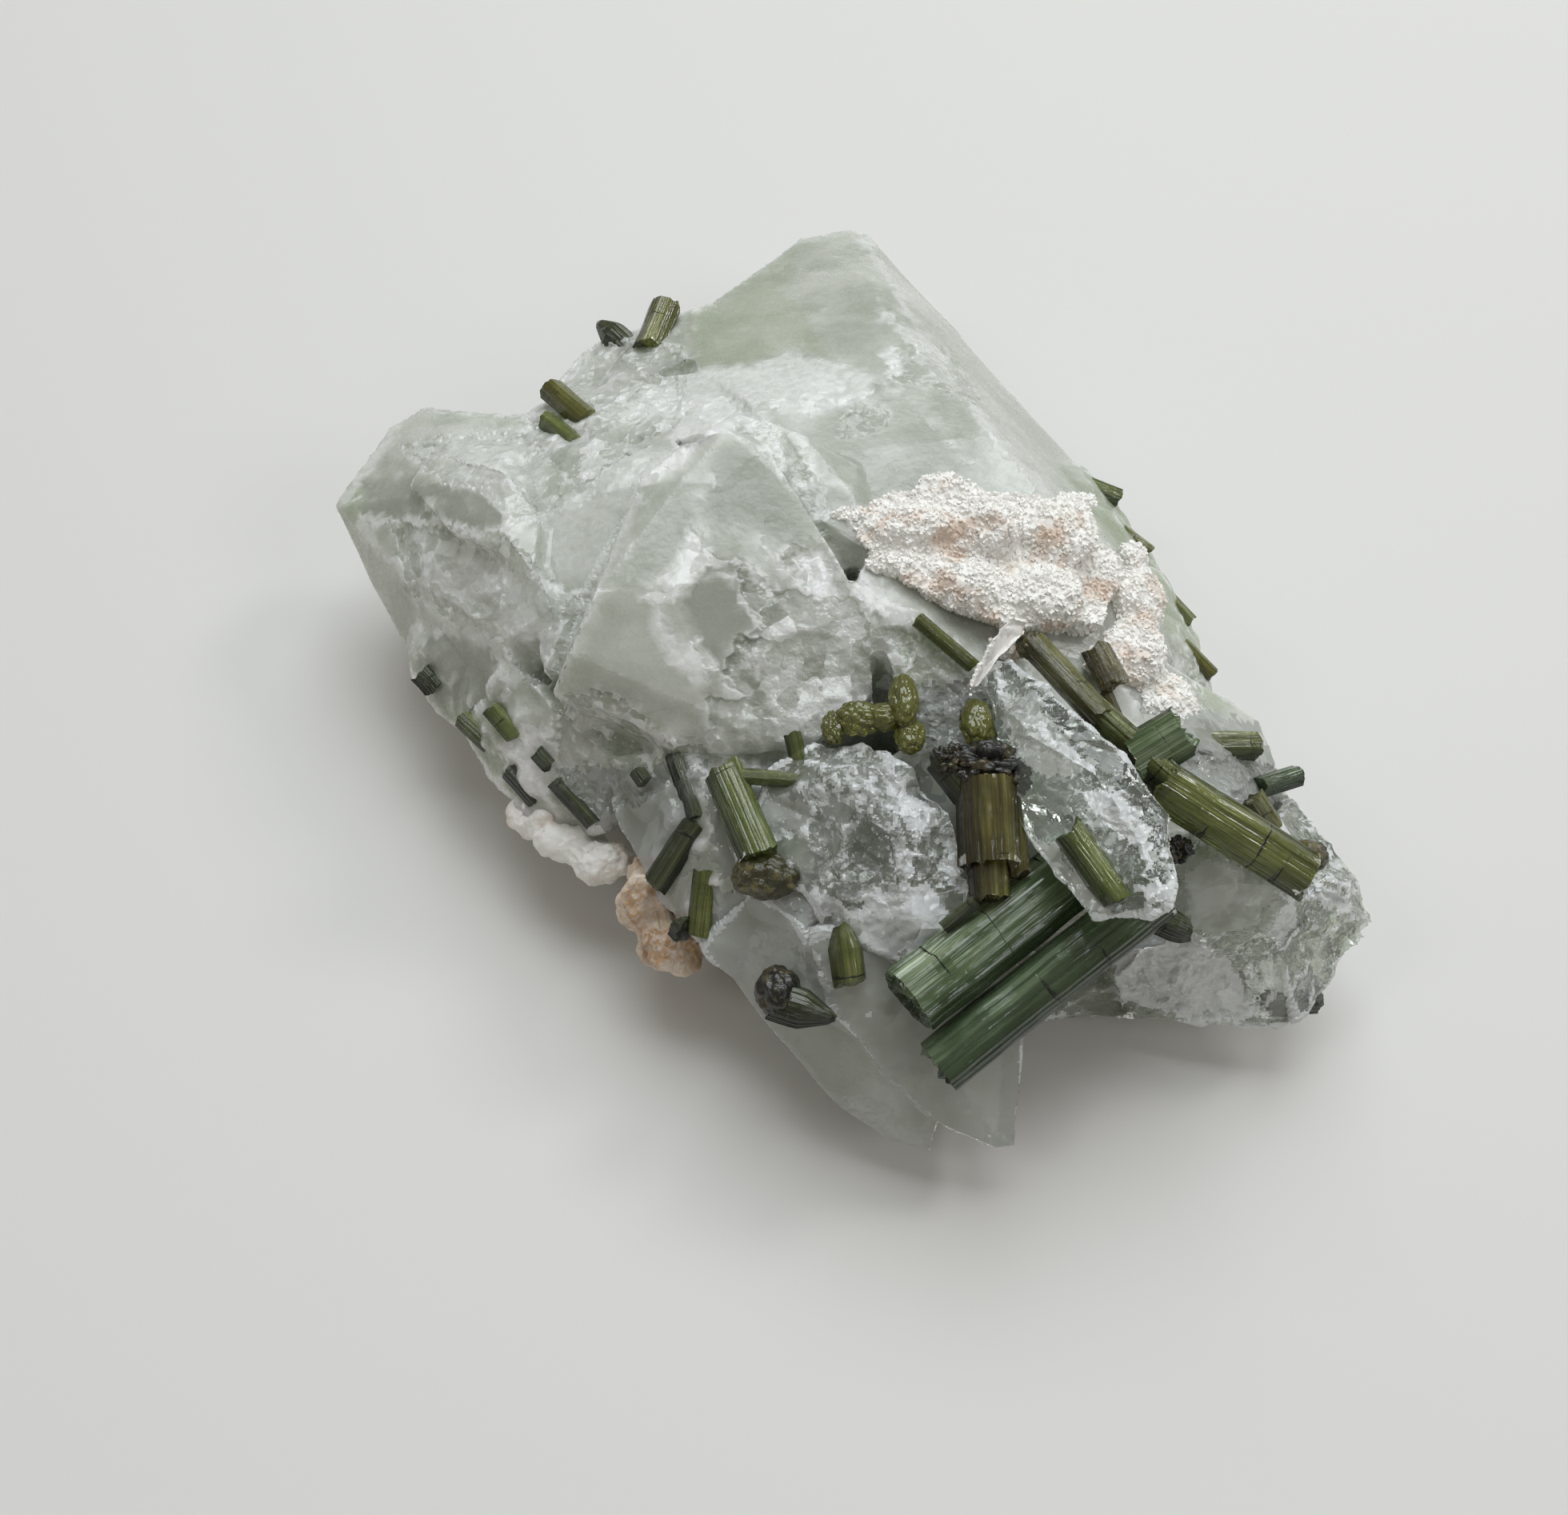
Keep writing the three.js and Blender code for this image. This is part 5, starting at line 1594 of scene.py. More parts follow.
        # Where a point lies round the prism is measured from its upper side, and from the lit side that the material
        # paints pale as painted light.
        side = w.vector("NORMALIZE", w.vector("CROSS_PRODUCT", along, (0.0, 0.0, 1.0)))
        up = w.vector("CROSS_PRODUCT", side, along)
        angle = w.math("ARCTAN2", w.measure("DOT_PRODUCT", arm, side), w.measure("DOT_PRODUCT", arm, up))
        turns = w.math("SUBTRACT", w.math("DIVIDE", angle, 2 * math.pi), given["Lit Side"])
        lay = w.node("ShaderNodeCombineXYZ", {0: turns, 1: from_start, 2: w.math("MULTIPLY", given["Seed"], 3.7)})
        marked = self.stored(w, shaped.outputs[0], "lay", "FLOAT_VECTOR", lay.outputs[0])
        capped = self.stored(w, marked, "cap", "FLOAT", w.math("SUBTRACT", 1.0, closing))
        merged = w.node("GeometryNodeMergeByDistance", {"Geometry": capped, "Distance": 0.002})
        flat = w.node("GeometryNodeSetShadeSmooth", {"Geometry": merged.outputs[0], "Shade Smooth": False})
        return flat.outputs[0]

    @staticmethod
    def clamped(w: Wires, value: NodeSocket) -> NodeSocket:
        """A number held between 0 and 1."""
        return w.math("MINIMUM", w.math("MAXIMUM", value, 0.0), 1.0)

    @staticmethod
    def between(w: Wires, t: NodeSocket, given: bpy.types.bpy_prop_collection) -> NodeSocket:
        """The place on the axis at a share of the length."""
        ends = {"Factor": t, 4: given["Start"], 5: given["End"]}
        return w.node("ShaderNodeMix", ends, data_type="VECTOR").outputs[1]

    @staticmethod
    def stored(w: Wires, geometry: NodeSocket, name: str, kind: str, value: NodeSocket) -> NodeSocket:
        """Stores a value on the points under a name."""
        links = {"Geometry": geometry, "Name": name, "Value": value}
        return w.node("GeometryNodeStoreNamedAttribute", links, data_type=kind, domain="POINT").outputs[0]

    @staticmethod
    def drawn_in(w: Wires, distance: NodeSocket, tip: NodeSocket) -> NodeSocket:
        """How much of the width is left near an end: all of it, or less within the tip's length.

        Args:
            w: the wiring helper.
            distance: how far the end is, in millimetres.
            tip: the tip's length in millimetres.

        Returns:
            A share from 0 to 1.
        """
        reach = {0: distance, 1: w.math("MAXIMUM", tip, 0.02)}
        share = w.node("ShaderNodeMath", reach, operation="DIVIDE", use_clamp=True)
        has_tip = w.math("MINIMUM", w.math("MULTIPLY", tip, 0.55), 0.85)
        return w.math("SUBTRACT", 1.0, w.math("MULTIPLY", has_tip, w.math("SUBTRACT", 1.0, share.outputs[0])))

    def draw(self, prism: Prism, material: Material, seed: int) -> Mesh:
        """Draws one prism.

        Args:
            prism: its sizes.
            material: its finish.
            seed: chooses its grooves.

        Returns:
            The mesh, in millimetres.
        """
        length = math.dist(prism.start, prism.end)
        bold = prism.width > self.BOLD
        values = {
            "Start": prism.start, "End": prism.end, "Width": prism.width, "Turn": math.radians(prism.turn),
            "Lit Side": prism.lit_side, "Start Tip": prism.start_tip, "End Tip": prism.end_tip, "Groove": self.GROOVE,
            "Facets": 9 if bold else 7, "Sides": 88 if bold else 48, "Uneven": 0.13 if bold else 0.34,
            "Rings": 2 * self.CAP_RINGS + max(4, int(length / self.RING_STEP)), "Seed": seed, "Material": material,
        }
        return self.run(bpy.data.meshes.new("prism"), values)


class KnobTree(ShapeTree):
    """Draws one knobbly lump."""

    NAME = "knobbly_lump"
    INPUTS = {"Middle": "Vector", "Half": "Vector", "Knobs": "Float", "Seed": "Float", "Material": "Material"}

    def wire(self, w: Wires, given: bpy.types.bpy_prop_collection) -> NodeSocket:
        """Joins the nodes that draw the lump.

        Args:
            w: the wiring helper.
            given: the tree's inputs.

        Returns:
            The geometry.
        """
        ball = w.node("GeometryNodeMeshIcoSphere", {"Radius": 1.0, "Subdivisions": 5})
        here = w.node("GeometryNodeInputPosition").outputs[0]
        moved = w.vector("ADD", here, given["Seed"])
        cells = w.node("ShaderNodeTexVoronoi", {"Vector": moved, "Scale": 2.6})
        dip = w.math(
            "MULTIPLY", w.math("MULTIPLY", cells.outputs["Distance"], cells.outputs["Distance"]), given["Knobs"],
        )
        swell = w.math("SUBTRACT", 1.04, w.math("MULTIPLY", dip, 0.75))
        size = w.vector("MULTIPLY", here, given["Half"])
        placed = w.vector("ADD", w.scaled(size, swell), given["Middle"])
        shaped = w.node("GeometryNodeSetPosition", {"Geometry": ball.outputs[0], "Position": placed})
        smooth = w.node("GeometryNodeSetShadeSmooth", {"Geometry": shaped.outputs[0], "Shade Smooth": True})
        return smooth.outputs[0]

    def draw(self, knob: Knob, material: Material, seed: float) -> Mesh:
        """Draws one lump.

        Args:
            knob: its place and size.
            material: its finish.
            seed: chooses its knobs.

        Returns:
            The mesh, in millimetres.
        """
        values = {"Middle": knob.at, "Half": knob.half, "Knobs": knob.knobs, "Seed": seed, "Material": material}
        return self.run(bpy.data.meshes.new("knob"), values)


class Hue(Enum):
    """Which tourmaline finish a crystal has."""

    GREEN = "green"
    PALE = "pale"
    BLUE = "blue"
    OLIVE = "olive"
    AMBER = "amber"
    BRIGHT = "bright"
    DARK = "dark"


# Each finish's first colour is the painted light of its lit side; its third also paints shade round the back.
TOURMALINE_FINISHES = {
    Hue.PALE: TourmalineFinish("tourmaline_pale", (0.58, 0.7, 0.46), (0.17, 0.255, 0.11), (0.03, 0.055, 0.022), 0.4),
    Hue.BLUE: TourmalineFinish("tourmaline_bluish", (0.3, 0.41, 0.24), (0.11, 0.17, 0.08), (0.022, 0.042, 0.018), 0.5),
    Hue.GREEN: TourmalineFinish("tourmaline_green", (0.56, 0.61, 0.2), (0.23, 0.27, 0.055), (0.035, 0.048, 0.012)),
    Hue.BRIGHT: TourmalineFinish("tourmaline_bright", (0.62, 0.7, 0.26), (0.24, 0.3, 0.07), (0.035, 0.052, 0.014)),
    Hue.OLIVE: TourmalineFinish("tourmaline_olive", (0.54, 0.56, 0.14), (0.24, 0.24, 0.048), (0.045, 0.042, 0.013)),
    Hue.AMBER: TourmalineFinish("tourmaline_amber", (0.54, 0.5, 0.16), (0.19, 0.165, 0.045), (0.035, 0.03, 0.012)),
    Hue.DARK: TourmalineFinish(
        "tourmaline_dark", (0.15, 0.17, 0.08), (0.045, 0.055, 0.025), (0.012, 0.016, 0.008), 0.25,
    ),
}


@dataclass(frozen=True)
class Crystal:
    """A tourmaline, or several grown together, that stands for one solid."""

    node: str
    hue: Hue
    prisms: tuple[Prism, ...] = ()
    knobs: tuple[Knob, ...] = ()
    sunk: float = 0.0  # mm that the quartz has grown up round it
    slot: str = "green_tourmaline"


CRYSTALS: tuple[Crystal, ...] = (
    Crystal("prism_front_upper", Hue.PALE, (
        Prism((5.5, -16.1, 11.3), (14.6, -9, 12.6), 3.5, 10, 0.35),)),
    Crystal("prism_front_lower", Hue.BLUE, (
        Prism((7, -18.5, 8.9), (18.4, -10.7, 12.9), 2.9, 40, 0.3),)),
    Crystal("prism_capped_pair", Hue.AMBER, (
        Prism((9.8, -5.8, 15.6), (9.9, -10.7, 14.2), 2.9, 8), Prism((9.7, -7, 15), (9.8, -12.2, 13.7), 2.0, 20),
        Prism((11, -6.2, 15.3), (11.2, -10.8, 14), 1.3, 30),
        Prism((7.3, -5, 15.9), (9, -7, 14.9), 1.3, 15, hue=Hue.DARK)), (
        Knob((9.8, -5.6, 15.9), (1.9, 1.3, 1.2), 0.9), Knob((8.1, -5.3, 15.9), (1.1, 0.9, 0.9)),
        Knob((11.2, -6.2, 15.5), (1.0, 1.0, 0.9))), slot="olive_tourmaline"),
    Crystal("prism_crossed_group", Hue.GREEN, (
        Prism((12.2, 1.1, 17.1), (15.6, -3.6, 16.6), 1.4, hue=Hue.OLIVE),
        Prism((14.9, -2.6, 16.5), (18.9, -6.6, 15.6), 1.8, 20),
        Prism((16.6, -5.2, 15.4), (19.6, -3.9, 16.9), 2.6, 10, lit_side=0.1, hue=Hue.PALE),
        Prism((17.8, -6, 15.5), (25.6, -10.1, 12.7), 2.5, 25, lit_side=0.06),
        Prism((24.1, -10, 12), (25.6, -8.9, 13.2), 1.4, hue=Hue.OLIVE)), (
        Knob((25.5, -9, 13), (1.0, 0.85, 0.85), 0.3), Knob((12.4, 0.8, 17), (0.85, 0.8, 0.7), 0.4)), sunk=0.35),
    Crystal("prism_in_blade", Hue.BRIGHT, (Prism((13, -9.7, 17.2), (15.5, -13.3, 16), 1.7),), sunk=0.35),
    Crystal("prism_right_level", Hue.GREEN, (Prism((20.9, -1.1, 10.9), (25.4, -0.4, 9.9), 1.7),), sunk=0.4),
    Crystal("prism_right_tip", Hue.BLUE, (Prism((25, -2.6, 8.9), (27.8, -1.4, 8.5), 1.4),)),
    Crystal("prism_left_bright", Hue.BRIGHT, (
        Prism((-3.1, -4, 13.4), (-1, -9.2, 12.7), 2.1), Prism((-3, -4.7, 13.6), (3.4, -5.9, 14.6), 0.8)), (
        Knob((-0.9, -9.6, 12.1), (1.75, 1.15, 1.2), 0.3),), sunk=0.5),
    Crystal("prism_front_capped", Hue.DARK, (
        Prism((-0.8, -14.7, 9.2), (2.7, -15.9, 9.2), 2, 0, 0, 1.9),), (
            Knob((-0.3, -14.5, 9.4), (1.15, 1.3, 1.2), 0.3),
        )),
    Crystal("prism_front_pointed", Hue.GREEN, (
        Prism((2.7, -11.8, 12.1), (3.2, -14.7, 10.3), 1.8, 0, 1.4),), sunk=0.6),
    Crystal("prism_left_dark", Hue.DARK, (
        Prism((-4.3, -5.9, 11.3), (-6.7, -8.7, 8.9), 1.4),
        Prism((-5.7, -2.4, 12.3), (-4.4, -5.9, 11.2), 1, 20)), sunk=0.65),
    Crystal("prism_left_lower", Hue.GREEN, (Prism((-3.9, -8, 10.2), (-4.3, -10.9, 7.9), 1.3),), sunk=0.5),
    Crystal("prism_ring_end", Hue.DARK, (Prism((-5.6, -9.9, 7.9), (-4.9, -10.7, 7.9), 1.4),), slot="dark_tourmaline"),
    Crystal("knob_olive_long", Hue.OLIVE, (
        Prism((3.5, -2.6, 15.7), (6.1, -2.4, 15.9), 1.0, 0, 0.5),
        Prism((5.9, -1.3, 16.8), (6.1, -4.1, 15.4), 1.0, 0, 0.4)), (
        Knob((3.7, -2.7, 15.7), (1.2, 0.95, 0.85), 0.35), Knob((5, -2.7, 15.8), (1.1, 0.7, 0.75), 0.35),
        Knob((5.9, -2, 16.3), (0.75, 1.5, 0.8), 0.3),
        Knob((6.2, -3.6, 15.5), (0.8, 1.0, 0.7), 0.35)), sunk=0.55, slot="olive_tourmaline"),
    Crystal("knob_olive_small", Hue.OLIVE, (Prism((2.3, -2.5, 15.7), (2.6, -4, 15), 0.8, 0, 0.3),), (
        Knob((2.4, -3.1, 15.5), (0.6, 0.95, 0.55), 0.5),), sunk=0.4, slot="olive_tourmaline"),
    Crystal("prism_face_green", Hue.BRIGHT, (Prism((0.4, -3, 15), (0.9, -4.8, 13.9), 0.9),), sunk=0.35),
    Crystal("knob_by_blade", Hue.OLIVE, (Prism((9, -2, 16), (10.1, -3.9, 15.2), 1.2, 0, 0.4),), (
        Knob((9.5, -2.9, 15.6), (0.85, 1.35, 0.8), 0.3),)),
    Crystal("prism_brown_end", Hue.AMBER, (
        Prism((15.8, 1.9, 15.6), (16.9, -0.6, 15), 1.7),
        Prism((16.2, -0.1, 14.4), (17.3, -2.8, 13.4), 0.9)), slot="olive_tourmaline"),
    Crystal("prism_patch_thin", Hue.GREEN, (Prism((6.6, 2.2, 17.5), (9.6, 0, 16.2), 0.8),), sunk=0.35),
    Crystal("knob_black", Hue.DARK, (), (Knob((19.2, -8.6, 13), (0.85, 0.75, 0.75)),), slot="dark_tourmaline"),
    Crystal("prism_right_small", Hue.OLIVE, (Prism((23.7, -4.6, 11.7), (25, -6.1, 10.5), 1.2),), sunk=0.5),
    Crystal("prism_toe_pair", Hue.DARK, (Prism((24.9, -12.9, 4.6), (28, -12.6, 4.2), 1.5),), sunk=0.4),
    Crystal(
        "wedge_dark", Hue.DARK, (Prism((16.9, -10.6, 10.9), (20.1, -12, 10.4), 1.7, 0, 0, 0.8),),
        slot="dark_tourmaline",
    ),
    Crystal("prism_flank_upper", Hue.BRIGHT, (Prism((18.6, 20.4, 7.6), (20.9, 19.9, 6.9), 1.2),), sunk=0.6),
    Crystal("prism_flank_middle", Hue.OLIVE, (Prism((20.3, 16.9, 7.4), (22.3, 15.7, 6.6), 1),), sunk=0.5),
    Crystal("prism_flank_lower", Hue.GREEN, (Prism((21.8, 10.9, 8.4), (23.6, 9.7, 7.1), 1.4),), sunk=0.7),
    Crystal("prism_edge_thin", Hue.OLIVE, (Prism((22.6, 7.6, 8.3), (24.6, 5.9, 7.2), 0.9),), sunk=0.45),
    Crystal(
        "ring_left_far", Hue.DARK, (Prism((-20.6, 5.9, 8.1), (-19.4, 4.7, 7.6), 1.4),), sunk=0.75,
        slot="dark_tourmaline",
    ),
    Crystal("prism_left_edge_a", Hue.GREEN, (Prism((-17.9, 2.6, 8.3), (-15.8, 0.8, 7.6), 1.4),), sunk=0.95),
    Crystal("prism_left_edge_b", Hue.BRIGHT, (Prism((-15.9, 1.7, 10.5), (-14.3, 0.1, 9.6), 1.1),), sunk=0.75),
    Crystal("prism_left_edge_c", Hue.DARK, (Prism((-15, -0.2, 7.7), (-13, -2.3, 7), 1.6),), sunk=0.9),
    Crystal("prism_left_edge_d", Hue.DARK, (Prism((-12.3, -2, 9), (-10, -4.3, 7.9), 0.9),), sunk=0.6),
    Crystal("prism_white_small", Hue.DARK, (Prism((-13.3, -0.8, 9.9), (-12.4, -1.7, 9.5), 0.9),), sunk=0.5),
    Crystal(
        "prism_shelf_small", Hue.DARK, (Prism((-7.6, -3.1, 11.8), (-7, -3.9, 11.5), 0.9),), sunk=0.4,
        slot="dark_tourmaline",
    ),
    Crystal("prism_top_wedge", Hue.DARK, (Prism((-11.8, 30, 12.1), (-9.1, 26.8, 12), 1.9, 0, 1.8),), sunk=0.5),
    Crystal(
        "prism_top_olive", Hue.OLIVE, (Prism((-7.1, 29.6, 14), (-8.3, 25.6, 13.4), 2, 0, 0.4),), sunk=0.5,
        slot="olive_tourmaline",
    ),
    Crystal("prism_top_lower", Hue.OLIVE, (Prism((-13.9, 22.4, 13.7), (-11.2, 19, 14.2), 1.5),), sunk=0.3),
    Crystal("prism_valley_edge", Hue.BRIGHT, (Prism((-14, 19.9, 13.6), (-11.6, 17, 14.3), 1.4),), sunk=0.3),
    Crystal("flake_dark", Hue.DARK, (Prism((7.4, -13.1, 13.3), (9.1, -12, 14.2), 0.8),), slot="dark_tourmaline"),
)


@dataclass
class TourmalineSet:
    """All the green crystals and the two trees that draw them."""

    prism_tree: PrismTree
    knob_tree: KnobTree
    finishes: dict[Hue, Material]
    black_ends: Material
    olive_ends: Material

    def place(self, crystal: Crystal, seed: int) -> Object:
        """Builds one crystal, dresses it and ties it to the frame.

        Args:
            crystal: its prisms and lumps.
            seed: chooses its grooves.

        Returns:
            The piece.
        """
        parts = [
            self.prism_tree.draw(p, self.finishes[p.hue or crystal.hue], seed + 7 * k)
            for k, p in enumerate(crystal.prisms)
        ]
        ends = {Hue.AMBER: self.black_ends, Hue.DARK: self.black_ends, Hue.OLIVE: self.finishes[Hue.OLIVE]}
        knob_skin = ends.get(crystal.hue, self.olive_ends)
        parts += [self.knob_tree.draw(k, knob_skin, seed + 0.37 * i) for i, k in enumerate(crystal.knobs)]
        thing = joined("green_" + crystal.node, parts)
        finish_piece(thing, (crystal.node,))
        return thing


def joined(name: str, parts: Sequence[Mesh]) -> Object:
    """Joins meshes in one object and moves it into the row frame.

    Args:
        name: the object's name.
        parts: meshes in millimetres, each with its own material.

    Returns:
        The object, in metres.
    """
    things = [new_object(name, mesh) for mesh in parts]
    if len(things) > 1:
        with bpy.context.temp_override(active_object=things[0], selected_editable_objects=things):
            bpy.ops.object.join()
    thing = things[0]
    thing.data.name = name
    set_points(thing.data, to_metres(mesh_points(thing.data)))
    return thing


class GrainTree(ShapeTree):
    """Covers a lump with small angular grains."""

    NAME = "sugary_grains"
    INPUTS = {
        "Geometry": "Geometry", "Density": "Float", "Smallest": "Float", "Largest": "Float", "Seed": "Int",
        "Material": "Material",
    }
    GRAIN = (1.0, 0.8, 0.55)  # sides of a grain of size 1
    TURN = 6.28  # radians; a grain may lie any way round

    def wire(self, w: Wires, given: bpy.types.bpy_prop_collection) -> NodeSocket:
        """Joins the nodes that lay the grains.

        Args:
            w: the wiring helper.
            given: the tree's inputs.

        Returns:
            The geometry.
        """
        scatter = w.node(
            "GeometryNodeDistributePointsOnFaces",
            {"Mesh": given["Geometry"], "Density": given["Density"], "Seed": given["Seed"]},
        )
        grain = w.node("GeometryNodeMeshCube", {"Size": self.GRAIN})
        turns = {0: (0.0, 0.0, 0.0), 1: (self.TURN,) * 3, "Seed": given["Seed"]}
        spin = w.node("FunctionNodeRandomValue", turns, data_type="FLOAT_VECTOR")
        sizes = {2: given["Smallest"], 3: given["Largest"], "Seed": given["Seed"]}
        size = w.node("FunctionNodeRandomValue", sizes, data_type="FLOAT")
        set_out = w.node("GeometryNodeInstanceOnPoints", {
            "Points": scatter.outputs[0], "Instance": grain.outputs[0],
            "Rotation": spin.outputs[0], "Scale": size.outputs[1],
        })
        both = w.node("GeometryNodeJoinGeometry")
        w.tree.links.new(given["Geometry"], both.inputs[0])
        w.tree.links.new(set_out.outputs[0], both.inputs[0])
        return both.outputs[0]


@dataclass
class Feldspar:
    """A sugary lump: its slab or balls, its grains and the solid it stands for."""

    name: str
    node: str
    slot: str
    slab: list[Point] = field(default_factory=list)
    balls: list[tuple[Point, Point]] = field(default_factory=list)
    voxel: float = 0.13
    rough: float = 0.3
    density: float = 0.0  # grains per square millimetre
    sizes: tuple[float, float] = (0.14, 0.32)
    seed: int = 4

    def build(self, tree: GrainTree, material: Material) -> Object:
        """Builds the lump with its grains and ties it to the frame.

        Args:
            tree: lays the grains.
            material: its finish.

        Returns:
            The piece.
        """
        blocks = [self.slab] if self.slab else []
        for at, half in self.balls:
            blocks.append(ball_points(at, half))
        mesh = grown_together(self.name, blocks, self.voxel)
        points, normals = mesh_points(mesh), mesh_normals(mesh)
        lift = soft_noise(points, 1.6, self.seed, 4) * self.rough
        chips = 0.14 * bowls(points, 0.8, self.seed + 5) + 0.34 * bowls(points, 1.9, self.seed + 6)
        set_points(mesh, points + normals * (lift * 0.7 + chips + 0.15)[:, None])
        if self.density > 0:
            mesh = tree.run(mesh, {
                "Density": self.density, "Smallest": self.sizes[0], "Largest": self.sizes[1],
                "Seed": self.seed, "Material": material,
            })
        else:
            mesh.materials.append(material)
        mesh.shade_flat()
        thing = joined(self.name, [mesh])
        finish_piece(thing, (self.node,))
        return thing


def ball_points(at: Point, half: Point) -> list[Point]:
    """Corners of a rounded lump, spread evenly in a spiral from pole to pole.

    Args:
        at: its middle in millimetres.
        half: its half sizes in millimetres.

    Returns:
        The corners.
    """
    count, golden_angle = 60, 2.39996
    made = []
    for i in range(count):
        z = 1 - 2 * (i + 0.5) / count
        r = math.sqrt(1 - z * z)
        a = i * golden_angle
        made.append((at[0] + half[0] * r * math.cos(a), at[1] + half[1] * r * math.sin(a), at[2] + half[2] * z))
    return made


# The patch, the rim, the rusty lump and the splinter.
FELDSPAR_PIECES = (
    Feldspar(
        "feldspar_crust", "feldspar_patch", "feldspar",
        slab=[
            (2.9, 7.6, 19), (5.4, 9.6, 19), (9.2, 9.9, 19), (13.4, 10.2, 18.2), (16, 9.2, 16.8),
            (18.2, 7.6, 15.2), (16.6, 3.4, 15.6), (11.6, 2, 16.8), (7, 3.4, 18), (4.6, 5.4, 18.6),
            (4, 7, 16.6), (14, 9, 14.6), (16, 4, 12.6), (7, 4.6, 15.4), (11.4, 3.4, 14),
        ],
        balls=[
            ((6.2, 7.4, 18.6), (2.6, 1.6, 1.0)), ((10, 7.6, 18.2), (2.6, 2, 1.3)),
            ((14.2, 8, 17.2), (2.4, 2.2, 1.3)), ((9.2, 4.6, 17.2), (2.6, 1.9, 1.3)),
            ((13.2, 4.6, 16.4), (2.4, 2.2, 1.5)), ((18.6, 6.6, 13), (2, 2.6, 2)),
            ((18.2, 3.4, 13), (2.4, 2.4, 1.6)), ((19.8, 1.2, 11.6), (2.3, 2.2, 1.3)),
            ((11.4, 1.5, 16), (1.3, 0.9, 0.8)), ((16.4, 1.6, 14.4), (1.3, 1.2, 0.9)),
            ((21, -0.6, 10.8), (1.3, 1.1, 0.7)), ((5, 5.1, 18), (1.3, 0.8, 0.7)),
            ((3.3, 8, 18.8), (1.2, 0.8, 0.5)), ((8, 10.2, 18.8), (1.3, 0.8, 0.5)),
            ((15.4, 10.2, 17.2), (1.3, 0.9, 0.6)), ((18.8, 8.9, 14.4), (1.1, 1.1, 1.0)),
        ],
        voxel=0.18, density=20.0,
    ),
    Feldspar(
        "feldspar_white_rim", "feldspar_rim", "feldspar",
        balls=[
            ((-13.3, -2.4, 5.6), (2, 1.5, 1.7)), ((-11.6, -3.9, 5.4), (2, 1.5, 1.7)),
            ((-9.8, -5.1, 5.6), (1.9, 1.4, 1.7)),
        ],
        rough=0.55, seed=8,
    ),
    Feldspar(
        "feldspar_rusty_lump", "feldspar_rusty", "rusty_feldspar",
        balls=[
            ((-7.2, -8.1, 6.4), (1.9, 1.7, 2.1)), ((-6.1, -10.1, 5.6), (1.9, 1.7, 2.1)),
            ((-7.4, -6.2, 6.4), (1.2, 1.2, 1.7)),
        ],
        rough=0.6, seed=12,
    ),
    Feldspar(
        "feldspar_thin_splinter", "feldspar_splinter", "feldspar",
        slab=[
            (12.4, 1.8, 18.2), (11.2, 1.7, 18.6), (9.9, 0, 18.2), (8.8, -2.1, 17.2), (9.1, -2.2, 16.9),
            (10.5, -0.6, 17.4), (12, 0.8, 17.6), (11.6, 1.6, 17.2),
        ],
        voxel=0.12, rough=0.05, seed=15,
    ),
)


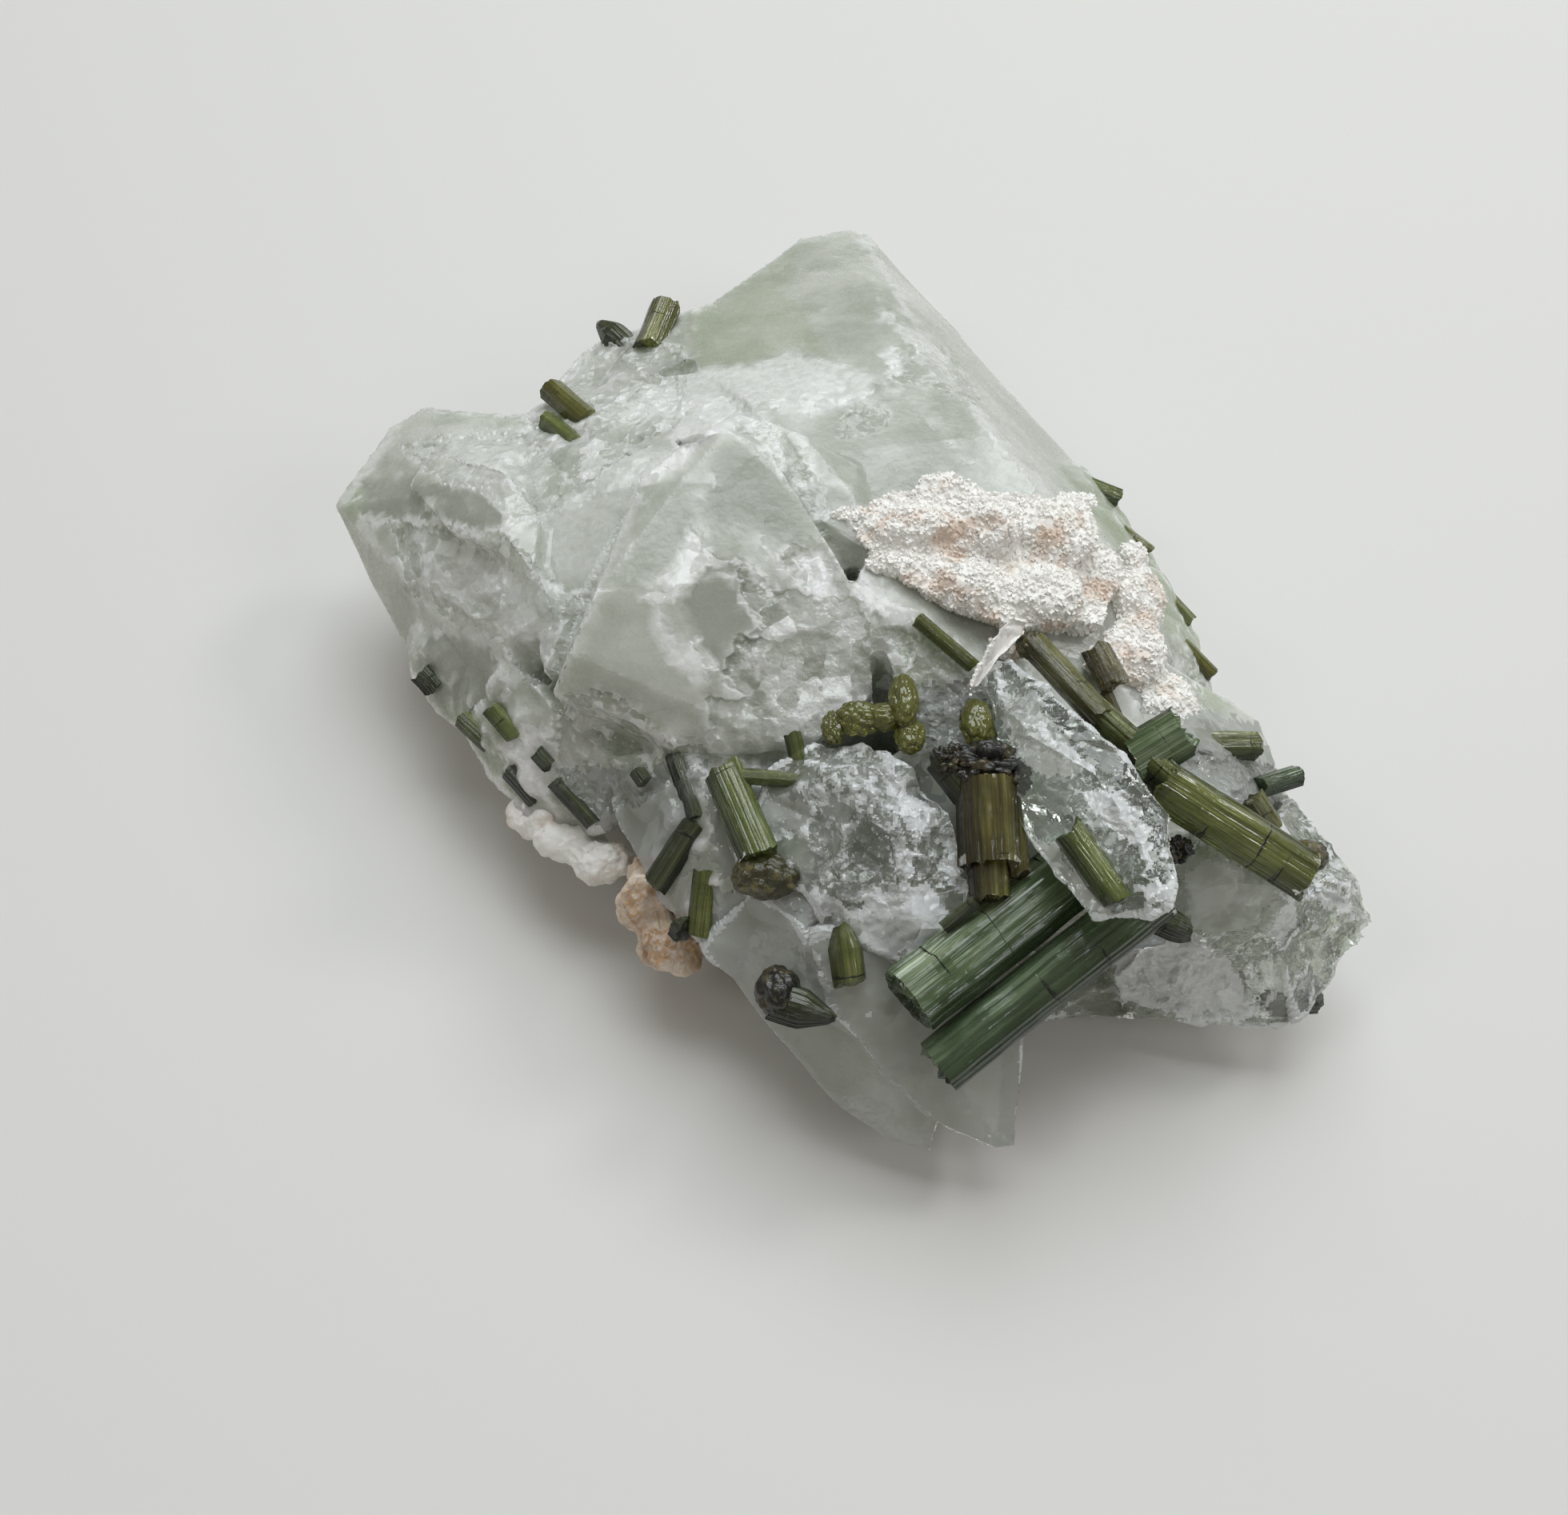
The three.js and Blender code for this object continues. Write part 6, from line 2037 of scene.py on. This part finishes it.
@dataclass(frozen=True)
class Stage:
    """Plain pale floor, soft light and the camera at the photograph's angle."""

    floor: Colour = (0.755, 0.745, 0.727)
    floor_half: float = 0.6  # m
    room: Colour = (1.0, 0.915, 0.79)
    room_strength: float = 0.22
    lens: float = 35.82
    sensor: float = 36.0

    def build(self) -> None:
        """Sets the floor, the lights and the camera."""
        mesh = bpy.data.meshes.new("floor")
        half = self.floor_half
        mesh.from_pydata([(-half, -half, 0), (half, -half, 0), (half, half, 0), (-half, half, 0)], [], [(0, 1, 2, 3)])
        floor = new_object("floor", mesh)
        material, w, shader = principled("pale_floor")
        w.feed(shader, {"Base Color": self.floor, "Roughness": 0.6})
        mesh.materials.append(material)
        world = bpy.data.worlds.new("soft_room")
        world.use_nodes = True
        Wires(world.node_tree).feed(
            world.node_tree.nodes["Background"], {"Color": self.room, "Strength": self.room_strength},
        )
        bpy.context.scene.world = world
        self.lamp("window", (0.03, 0.24, 0.46), size=0.4, power=1.9, colour=(0.9, 0.965, 1.0))
        self.lamp("glint", (0.34, 0.16, 0.36), size=0.1, power=0.38, colour=(1.0, 1.0, 1.0))
        self.lamp("front", (0.3, -0.2, 0.3), size=0.16, power=0.22, colour=(0.93, 0.965, 1.0))
        self.lamp("fill", (-0.3, -0.1, 0.4), size=0.12, power=0.15, colour=(0.95, 0.97, 1.0))
        camera = bpy.data.objects.new("camera", bpy.data.cameras.new("camera"))
        bpy.context.scene.collection.objects.link(camera)
        camera.data.lens = self.lens
        camera.data.sensor_width = self.sensor
        camera.data.clip_start = 0.005
        camera.location = to_metres(VIEW.eye())
        camera.rotation_euler = (math.radians(90.0 - VIEW.pitch), 0.0, 0.0)
        bpy.context.scene.camera = camera

    @staticmethod
    def lamp(name: str, at: Point, size: float, power: float, colour: Colour) -> None:
        """Hangs one square lamp that shines on the specimen.

        Args:
            name: the lamp's name.
            at: its place in metres.
            size: its side in metres.
            power: its watts.
            colour: its light.
        """
        data = bpy.data.lights.new(name, "AREA")
        data.size = size
        data.energy = power
        data.color = colour
        thing = bpy.data.objects.new(name, data)
        bpy.context.scene.collection.objects.link(thing)
        thing.location = at
        thing.rotation_euler = Vector(at).to_track_quat("Z", "Y").to_euler()


def main() -> None:
    """Builds the specimen piece by piece."""
    logging.basicConfig(level=logging.INFO, format="%(name)s: %(message)s")
    chips = flake_group()
    streaks = streak_group()
    quartz = {clarity: finish.make(chips) for clarity, finish in QUARTZ_FINISHES.items()}
    for piece in QUARTZ_PIECES:
        piece.place(quartz)
    black_ends = KnobFinish("tourmaline_black_ends", (0.01, 0.01, 0.008), (0.07, 0.055, 0.02)).make()
    olive_ends = KnobFinish("tourmaline_olive_ends", (0.04, 0.038, 0.012), (0.15, 0.13, 0.045)).make()
    made = {hue: finish.make(streaks, chips) for hue, finish in TOURMALINE_FINISHES.items()}
    green = TourmalineSet(PrismTree(), KnobTree(), made, black_ends, olive_ends)
    for number, crystal in enumerate(CRYSTALS):
        green.place(crystal, 11 + 13 * number)
    sugar = CrustFinish("sugary_feldspar", (0.97, 0.955, 0.92), (0.8, 0.66, 0.55), 0.3).make(chips)
    rust = CrustFinish("rusty_feldspar", (0.76, 0.62, 0.47), (0.45, 0.27, 0.13), 0.55).make(chips)
    grains = GrainTree()
    for lump in FELDSPAR_PIECES:
        lump.build(grains, rust if lump.slot == "rusty_feldspar" else sugar)
    Stage().build()
    bpy.context.scene.view_settings.view_transform = "Standard"


if __name__ == "__main__":
    main()
